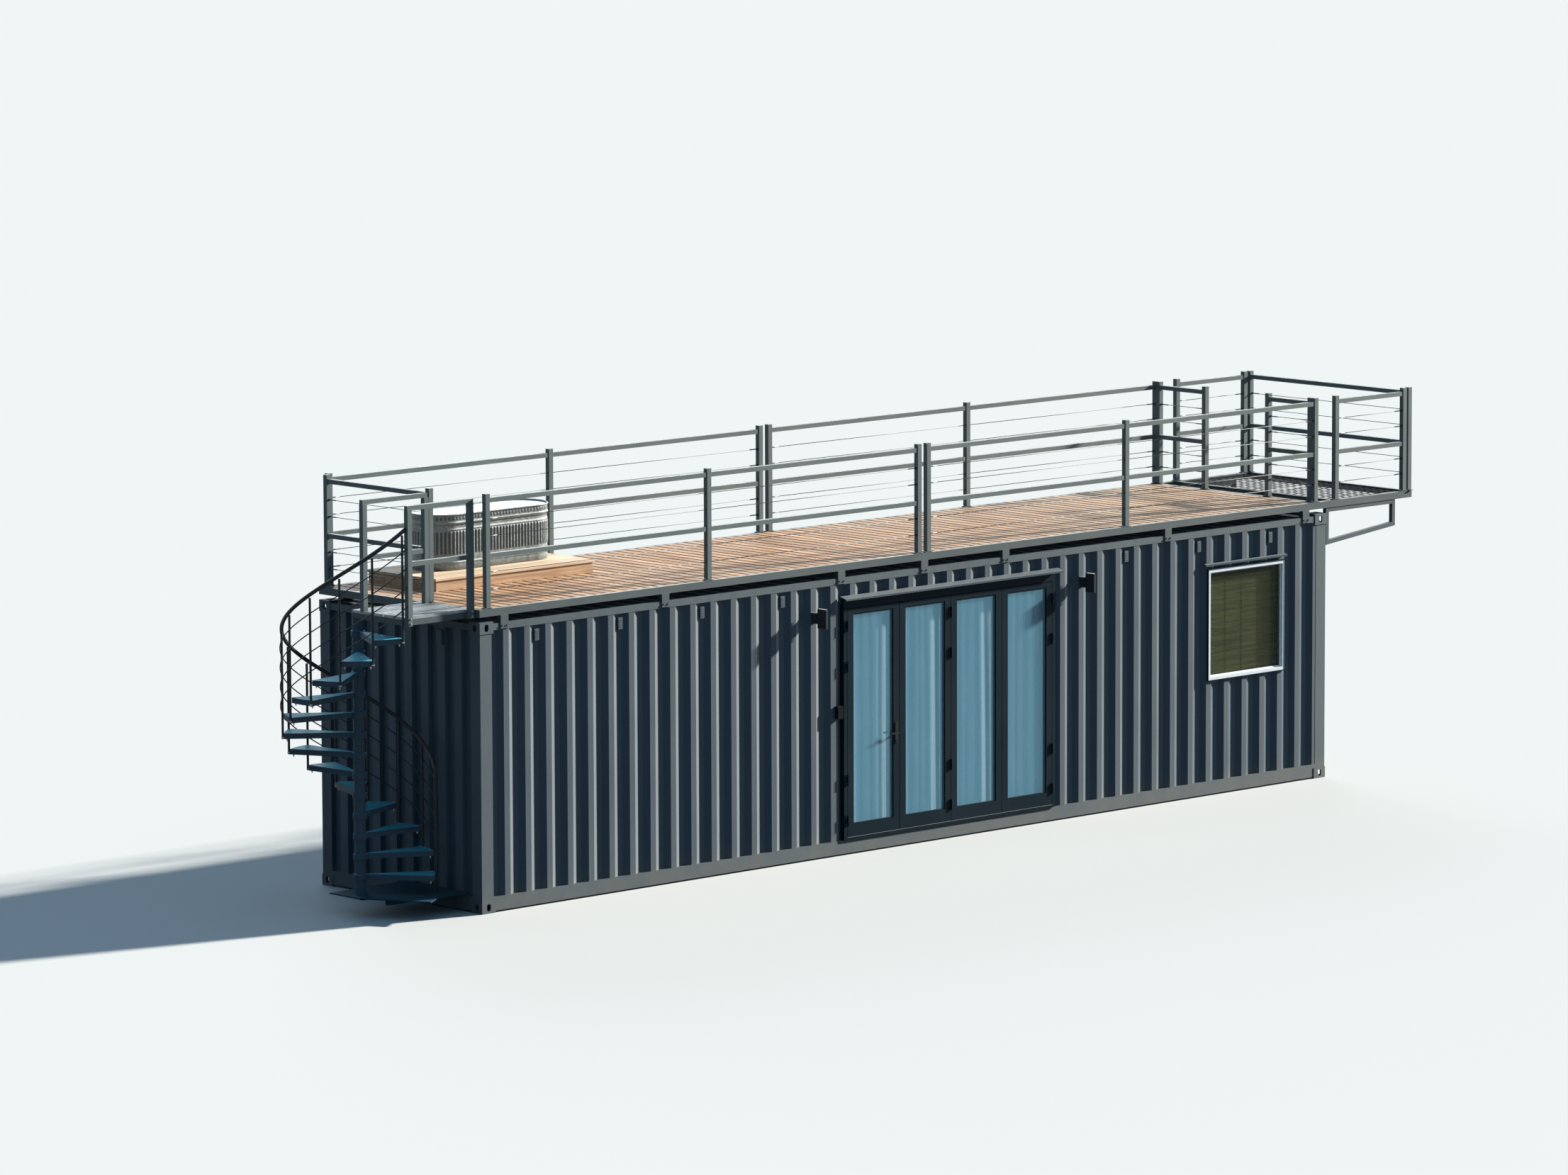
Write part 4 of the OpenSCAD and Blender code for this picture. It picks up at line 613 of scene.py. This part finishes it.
def linen(name, pale, deep, thread, creaseShade):
    # plain woven linen voile: threads 0.8 mm wide drawn at 2.5 mm so that they show, slubs along the weft, and
    # painted shade in dark blue in the creases and on one flank of each pleat
    material, tree, shader, place = newMaterial(name, {"Specular IOR Level": 0.15, "Sheen Weight": 0.35,
                                                       "Sheen Roughness": 0.5})
    uv = addNode(tree, "UVMap", uv_map="cloth").outputs[0]
    weft = addNode(tree, "TexWave", {"Vector": uv, "Scale": 63, "Distortion": 0.6}, bands_direction="X").outputs[1]
    warp = addNode(tree, "TexWave", {"Vector": uv, "Scale": 63, "Distortion": 0.6}, bands_direction="Y").outputs[1]
    weave = addNode(tree, "Math", {0: weft, 1: warp}, operation="ADD")
    slub = drawnOut(tree, uv, (4, 60, 1))
    color = laidOver(tree, hexColor(pale), hexColor(deep), slub, 0.3, 0.75)
    color = laidOver(tree, color, hexColor(thread), weave, 0.4, 1.8, 0.10)
    foldShade = addNode(tree, "Attribute", attribute_name="foldShade").outputs["Fac"]
    # painted shade in the creases and over the pleat flanks
    color = laidOver(tree, color, hexColor(creaseShade), foldShade, 0.04, 0.9, 0.95)
    finish(tree, shader, color, (0.8, 0.9), slub, weave, 0.0006)
    return material


door = {"stile": 0.083, "gap": 0.006, "hinges": (0.115, 0.539), "hinge": 0.112}
curtain = {"folds": 5, "wave": 0.0115, "columns": 193, "rows": 40, "thick": 0.0012, "sideGap": 0.004,
           "gather": 0.035, "sway": 0.006, "crimp": 0.002}
# the last colour is the painted shade of the creases and pleat flanks
linenCloth = linen("pale blue linen", "#e0f2f9", "#cfe8f2", "#acd5e4", "#1f5673")
low, high = lowHigh("door_curtains")
leafLow, leafHigh = lowHigh("folding_leaves")
leafPitch = (leafHigh[0] - leafLow[0] + door["gap"]) / 3
curtainWidth = leafPitch - door["gap"] - door["stile"] - 2 * curtain["sideGap"]
tall = high[2] - low[2]
starts = [low[0]] + [leafLow[0] + door["stile"] / 2 + k * leafPitch for k in range(3)]
for k, start in enumerate(starts):
    # x runs evenly; y follows round lobes with a narrow crease between each two, which wander towards the hem
    u = np.linspace(0, 1, curtain["columns"])[None]
    v = np.linspace(0, 1, curtain["rows"])[:, None]
    spread = u + 0.022 * np.sin(7 * u + 2.3 * k) + 0.012 * np.sin(15 * u + 4 * k)
    wander = 0.6 * np.sin(2.1 * (1 - v) + k) * np.sin(3 * np.pi * u)
    turn = 2 * np.pi * curtain["folds"] * spread + k * 1.7 + wander
    swing = curtain["wave"] * (0.8 + 0.2 * (1 - v)) * (0.82 + 0.18 * np.sin(5 * u + 2 * k + 2 * v))
    gather = curtain["gather"] * (v ** 3) * np.cos(np.pi * u) * (1 if k % 2 else 0.5) * (u * (1 - u) * 4)
    x = start + curtain["sideGap"] + curtainWidth * u + curtain["sway"] * np.sin(turn * 0.5) * (1 - v) + gather
    lobe = np.abs(np.sin(turn / 2)) ** 0.8
    y = (low[1] + high[1]) / 2 + swing * (1 - 2 * lobe) + curtain["crimp"] * np.sin(2 * turn + 1) * (1 - v)
    z = low[2] + tall * v + 0 * u
    points = np.stack([x + 0 * v, y, z], -1)
    cloth = piece(f"curtain{k + 1}", (points, gridFaces(curtain["rows"], curtain["columns"])), linenCloth,
                  smooth=True, hides=["door_curtains"])
    # painted shade: dark in each crease, and a softer painted shade over one flank of each pleat, more towards the
    # hem
    creaseShade = np.clip(1.5 * (1 - lobe), 0, 1) * (0.8 + 0.2 * np.sin(11 * u + 3 * k))
    flankShade = 0.14 * (1 + np.cos(turn / 2)) * (0.4 + 0.6 * v)
    cloth.data.attributes.new("foldShade", "FLOAT", "POINT").data.foreach_set("value", (creaseShade + flankShade).ravel())
    uv = cloth.data.uv_layers.new(name="cloth")
    corner = np.array([loop.vertex_index for loop in cloth.data.loops])
    steps = np.cumsum(np.linalg.norm(np.diff(points, axis=1), axis=-1), axis=1)
    flatU = np.concatenate([np.zeros((len(points), 1)), steps], 1)
    flat = np.stack([flatU, z - low[2]], -1).reshape(-1, 2)
    uv.data.foreach_set("uv", flat[corner].ravel())
    thick = cloth.modifiers.new("cloth", "SOLIDIFY")
    thick.thickness, thick.offset = curtain["thick"], 0

# woven split bamboo blind: thin slats a few millimetres high, tied by cords, wavy from slat to slat
blind = {"slat": 0.0072, "columns": 60, "front": 0.0035, "swell": 0.0025, "lean": 0.0005, "back": 0.002,
         "cords": 5, "cordIn": 0.09, "cordOut": 0.001, "cord": 0.0022}
blindMaterial = wood("split bamboo", "#787e4a", "#23270f", "#4d5035", "x", pitch=0.3, start=0.0, rough=0.7,
                     greyMost=0.1)
low, high = lowHigh("window_blind")
rowCount = int((high[2] - low[2]) / blind["slat"]) * 4 + 1
rowsZ = np.linspace(low[2], high[2], rowCount)
u = np.linspace(low[0], high[0], blind["columns"])
slatWave = 0.5 - 0.5 * np.cos(2 * np.pi * np.arange(rowCount) / 4)
lean = np.random.default_rng(3).normal(0, blind["lean"], rowCount // 4 + 1).repeat(4)[:rowCount]
faceY = low[1] + blind["front"] - blind["swell"] * slatWave[:, None] + lean[:, None] + 0 * u[None]
across, level = u[None] + 0 * faceY, rowsZ[:, None] + 0 * faceY
frontFace = np.stack([across, np.maximum(faceY, low[1]), level], -1)
backFace = np.stack([across, np.full_like(faceY, high[1] - blind["back"]), level], -1)
loop = np.concatenate([frontFace, backFace[:, ::-1]], 1)
ring = 2 * blind["columns"]
faces = gridFaces(rowCount, ring, closed=True)
faces += [list(range(ring - 1, -1, -1)), [(rowCount - 1) * ring + i for i in range(ring)]]
piece("bambooBlind", (loop, faces), blindMaterial, hides=["window_blind"])
cordX = np.linspace(low[0] + blind["cordIn"], high[0] - blind["cordIn"], blind["cords"])
cordLow = np.stack([cordX, np.full_like(cordX, low[1] - blind["cordOut"]), np.full_like(cordX, low[2])], 1)
piece("blindCords", rods(cordLow, cordLow + [0, 0, high[2] - low[2]], blind["cord"], 6), blindMaterial)
print("curtains and blind hung")


def pictureFrame(x0, x1, z0, z1, y0, y1, wide):
    # four bars round an opening, the upright ones between the level ones
    return boxes([[x0, y0, z0], [x0, y0, z1 - wide], [x0, y0, z0 + wide], [x1 - wide, y0, z0 + wide]],
                 [[x1, y1, z0 + wide], [x1, y1, z1], [x0 + wide, y1, z1 - wide], [x1, y1, z1 - wide]])


glazing = {"bead": 0.007, "proud": 0.004, "ease": 0.0015, "seal": 0.004, "sealProud": 0.002}
glassLow, glassHigh = lowHigh("entry_door_glass")
panes = [(glassLow[0], glassHigh[0])]
panes += [(leafLow[0] + door["stile"] + k * leafPitch, leafLow[0] + (k + 1) * leafPitch - door["gap"] - door["stile"])
          for k in range(3)]
for k, (x0, x1) in enumerate(panes):
    body = "entry_leaf" if k == 0 else "cabin"
    z0, z1, bar = glassLow[2], glassHigh[2], glazing["bead"]
    outer = pictureFrame(x0, x1, z0, z1, glassLow[1] - glazing["proud"], glassLow[1], bar)
    inner = pictureFrame(x0, x1, z0, z1, glassHigh[1], glassHigh[1] + glazing["proud"], bar)
    piece(f"glazingBead{k + 1}", join(outer, inner), bronze, body=body, bevel=glazing["ease"])
    shape = pictureFrame(x0 + bar, x1 - bar, z0 + bar, z1 - bar, glassLow[1] - glazing["sealProud"], glassLow[1],
                         glazing["seal"])
    piece(f"glassSeal{k + 1}", shape, gasket, body=body)

# lock cylinder and the two screws of the handle's face plate
lock = {"aside": 0.020, "face": -0.020, "height": 1.118, "radius": 0.0085, "out": 0.0035,
        "screws": (1.282, 1.102), "screw": 0.0035, "screwOut": 0.0015}
middle = lowHigh("entry_door_handle")[1][0] - lock["aside"]
barrel = np.array([[middle, lock["face"], lock["height"]]])
ends = np.array([[middle, lock["face"], z] for z in lock["screws"]])
piece("lockCylinder", join(rods(barrel, barrel - [0, lock["out"], 0], lock["radius"], 20),
                           rods(ends, ends - [0, lock["screwOut"], 0], lock["screw"], 10)),
      blackCoat, body="entry_leaf")
hingeScrew = {"fromEnd": 0.018, "fromSide": 0.030, "plate": 0.0028, "head": 0.0012, "radius": 0.0032}
hingeLow, hingeHigh = lowHigh("door_hinges")
step = door["hinges"][1] - door["hinges"][0]
hingeZ = [hingeLow[2], hingeLow[2] + step, hingeHigh[2] - step - door["hinge"], hingeHigh[2] - door["hinge"]]
screwZ = [z + dz for z in hingeZ for dz in (hingeScrew["fromEnd"], door["hinge"] - hingeScrew["fromEnd"])]
frameLow, frameHigh = lowHigh("door_frame")
screwX = np.repeat([frameLow[0] + hingeScrew["fromSide"], frameHigh[0] - hingeScrew["fromSide"]], len(screwZ))
spots = np.stack([screwX, np.full(len(screwX), frameLow[1] - hingeScrew["plate"]), np.tile(screwZ, 2)], 1)
piece("hingeScrews", rods(spots, spots + [0, -hingeScrew["head"], 0], hingeScrew["radius"], 8), zinc)
sill = {"aside": 0.045, "front": 0.004, "back": 0.10, "low": 0.0252, "high": 0.0275}
piece("doorSill", boxes([[frameLow[0] + sill["aside"], frameLow[1] - sill["front"], frameLow[2] + sill["low"]]],
                        [[frameHigh[0] - sill["aside"], frameLow[1] + sill["back"], frameLow[2] + sill["high"]]]),
      plankMetal)
# window: a rubber line round the glass and the bead that holds it
sash = {"seal": 0.006, "sealProud": 0.003, "bead": 0.014, "proud": 0.010, "ease": 0.002}
paneLow, paneHigh = lowHigh("window_glass")
inset = sash["bead"]
piece("windowBead", pictureFrame(paneLow[0], paneHigh[0], paneLow[2], paneHigh[2], paneLow[1] - sash["proud"],
                                 paneLow[1], inset), vinyl, bevel=sash["ease"])
piece("windowSeal", pictureFrame(paneLow[0] + inset, paneHigh[0] - inset, paneLow[2] + inset, paneHigh[2] - inset,
                                 paneLow[1] - sash["sealProud"], paneLow[1], sash["seal"]), gasket)
print("door and window trim made")


# railings: cables, their ends and the plates of their posts
rail = {"post": 0.055, "cables": (0.190, 0.360, 0.716, 0.886), "cable": 0.0034, "fitting": 0.0065,
        "turnbuckle": 0.11, "sleeve": 0.014, "nut": 0.0105, "nutLong": 0.010, "nutShort": 0.004, "plate": 0.008,
        "plateHalf": 0.052, "plateEase": 0.0015, "bolt": 0.0085, "boltAside": 0.040, "boltHead": 0.012}
deckTop = lowHigh("deck_boards")[1][2]
halfPost = rail["post"] / 2
boxLength, boxWidth = 12.192, 2.438
mid = boxLength / 2
# where posts stand: from the ends, beside the middle, at the corners and on the platform
stand = {"first": 0.120, "last": 0.163, "pair": 0.0665, "leftFront": 0.741, "leftBack": 0.086, "corner": 0.002,
         "shortFront": 0.712, "shortBack": 0.780, "platform": 12.310, "platformPost": 0.022, "farEnd": 13.565,
         "joint": 0.035, "endGap": 0.006}
leftPosts = np.linspace(stand["first"], mid - stand["pair"], 3)
rightPosts = np.linspace(mid + stand["pair"], boxLength - stand["last"], 3)
heights = deckTop + np.array(rail["cables"])
cables, swages, studs, plates, feet = [], [], [], [], []


def addPanel(origin, along, posts):
    # cables, their turnbuckles and foot plates of one panel; along is its direction, posts its post centres
    origin, along = np.array(origin, float), np.array(along, float)
    for a, b in zip(posts[:-1], posts[1:]):
        for h in heights:
            start = origin + along * (a + halfPost) + [0, 0, h]
            end = origin + along * (b - halfPost) + [0, 0, h]
            cables.append((start, end))
            for place, way, outermost in ((start, along, a == posts[0]), (end, -along, b == posts[-1])):
                swages.append((place, place + way * (rail["turnbuckle"] if outermost else rail["sleeve"])))
                studs.append((place, place + way * (rail["nutLong"] if outermost else rail["nutShort"])))
    for a in posts:
        foot = origin + along * a + [0, 0, deckTop]
        half = np.abs(along) * rail["plateHalf"] + np.abs(np.cross(along, [0, 0, 1])) * halfPost
        plates.append((foot - half, foot + half + [0, 0, rail["plate"]]))
        for way in (-1, 1):
            feet.append(foot + along * way * rail["boltAside"] + [0, 0, rail["plate"]])


platformPosts = [stand["platform"] + stand["platformPost"] + halfPost,
                 stand["farEnd"] - rail["post"] - stand["joint"] - halfPost]
for y in (halfPost, boxWidth - halfPost):
    for posts in (leftPosts, rightPosts, platformPosts):
        addPanel((0, y, 0), (1, 0, 0), posts)
cornerPost = rail["post"] + stand["corner"] + halfPost
endX = boxLength - stand["last"]
crossPanels = [(halfPost, stand["leftFront"] + halfPost, boxWidth - stand["leftBack"] - halfPost),
               (endX, cornerPost, stand["shortFront"]), (endX, boxWidth - stand["shortBack"], boxWidth - cornerPost),
               (stand["farEnd"] - halfPost, stand["endGap"] + halfPost, boxWidth - stand["endGap"] - halfPost)]
for x, front, back in crossPanels:
    addPanel((x, 0, 0), (0, 1, 0), [front, back])


def pairs(ends, radius, sides):
    # one rod for each pair of end points
    ends = np.array(ends)
    return rods(ends[:, 0], ends[:, 1], radius, sides)


piece("railingCables", pairs(cables, rail["cable"], 8), cableSteel, smooth=True)
piece("cableTurnbuckles", pairs(swages, rail["fitting"], 8), swageSteel, smooth=True)
piece("cableNuts", pairs(studs, rail["nut"], 6), blackPlastic)
plates = np.array(plates)
piece("postFootPlates", boxes(plates[:, 0], plates[:, 1]), railPaint, bevel=rail["plateEase"])
piece("postFootBolts", bolts(feet, (0, 0, 1), rail["bolt"], rail["boltHead"]), zinc)
landingBolt = {"drop": 0.045, "rows": (-0.016, 0.03), "head": 0.011}
low, high = lowHigh("landing_railings")
spots = [[x, low[1], deckTop - landingBolt["drop"] + dz] for x in (low[0] + halfPost, high[0] - halfPost)
         for dz in landingBolt["rows"]]
piece("landingPostBolts", bolts(spots, (0, -1, 0), rail["bolt"], landingBolt["head"]), zinc)
standoff = {"first": 0.324, "second": 2.470, "mid": 1.186, "height": 2.846, "aside": 0.030, "bolt": 0.007,
            "head": 0.009}
low, high = lowHigh("deck_standoffs")
standX = [standoff["first"], standoff["second"], mid - standoff["mid"], mid, mid + standoff["mid"],
          boxLength - standoff["second"], boxLength - standoff["first"]]
for name, y, way in (("standoffBoltsFront", low[1], -1), ("standoffBoltsBack", high[1], 1)):
    spots = [[x + dx, y, standoff["height"]] for x in standX for dx in (-standoff["aside"], standoff["aside"])]
    piece(name, bolts(spots, (0, way, 0), standoff["bolt"], standoff["head"]), castPaint)
print("railings dressed")


# stair fixings: bolts through each tread and clamps on the balusters
stair = {"x": -0.836, "y": 0.855, "first": -42.5, "last": 253.9, "count": 13, "foot": 0.204, "top": 3.025,
         "plate": 0.006, "boltReach": 0.705, "boltSide": 10.3, "shank": 0.0055, "shankLong": 0.075, "nut": 0.010,
         "nutLow": 0.060, "nutHigh": 0.050, "head": 0.008, "headHigh": 0.004, "clampReach": 0.7473,
         "clampSide": 11.55, "clampDrop": 0.045, "clamp": 0.0155, "clampHeight": 0.012}
rise = (stair["top"] - stair["foot"]) / (stair["count"] + 1)
turnStep = (stair["last"] - stair["first"]) / (stair["count"] - 1)
treadTurn = np.radians(stair["first"] + turnStep * np.arange(stair["count"]))
treadTop = stair["foot"] + rise * np.arange(1, stair["count"] + 1)


def onStair(turn, reach, z):
    # points at a turn and a reach round the column
    return np.stack([stair["x"] + reach * np.cos(turn), stair["y"] + reach * np.sin(turn), z], -1)


spots = np.concatenate([onStair(treadTurn + math.radians(side), stair["boltReach"], treadTop - stair["plate"])
                        for side in (-stair["boltSide"], stair["boltSide"])])
shanks = rods(spots - [0, 0, stair["shankLong"]], spots, stair["shank"], 8)
nuts = rods(spots - [0, 0, stair["nutLow"]], spots - [0, 0, stair["nutHigh"]], stair["nut"], 6)
heads = bolts(spots + [0, 0, stair["plate"]], (0, 0, 1), stair["head"], stair["headHigh"])
piece("treadBolts", join(shanks, nuts, heads), zinc)
clampTurn = treadTurn[1:] + math.radians(stair["clampSide"])
clampLow = onStair(clampTurn, stair["clampReach"], treadTop[1:] - stair["clampDrop"])
piece("balusterClamps", rods(clampLow, clampLow + [0, 0, stair["clampHeight"]], stair["clamp"], 12), zinc)
print("stair fixings made")


# louvres of the vents and lenses of the lamps, placed by the folds of the wall
wallFold = {"pitch": 0.278, "inner": 0.486, "outer": 0.347}
vent = {"folds": (1, 5, 9, 13, 31, 35, 39), "top": 2.744, "slots": 5, "step": 0.018, "tall": 0.004, "half": 0.022,
        "face": 0.0145, "thick": 0.004, "ease": 0.001}
lines = []
for x in wallFold["inner"] + wallFold["pitch"] * np.array(vent["folds"]):
    for k in range(vent["slots"]):
        z = vent["top"] - vent["step"] * k
        for y in (vent["face"], boxWidth - vent["face"] - vent["thick"]):
            lines.append(([x - vent["half"], y, z - vent["tall"]], [x + vent["half"], y + vent["thick"], z]))
lines = np.array(lines)
piece("ventLouvres", boxes(lines[:, 0], lines[:, 1]), ventPaint, bevel=vent["ease"])
lamp = {"folds": (15, 29), "half": 0.0095, "front": 0.010, "deep": 0.108, "thick": 0.001}
lampLow, lampHigh = lowHigh("wall_lamps")
lampX = [wallFold["outer"] + wallFold["pitch"] * n for n in lamp["folds"]]
lensLow = np.array([[x - lamp["half"], lampLow[1] + lamp["front"], z] for x in lampX
                    for z in (lampLow[2] - lamp["thick"], lampHigh[2])])
lensSize = [2 * lamp["half"], lamp["deep"], lamp["thick"]]
piece("lampLenses", boxes(lensLow, lensLow + lensSize), frosted)
print("small fittings made")
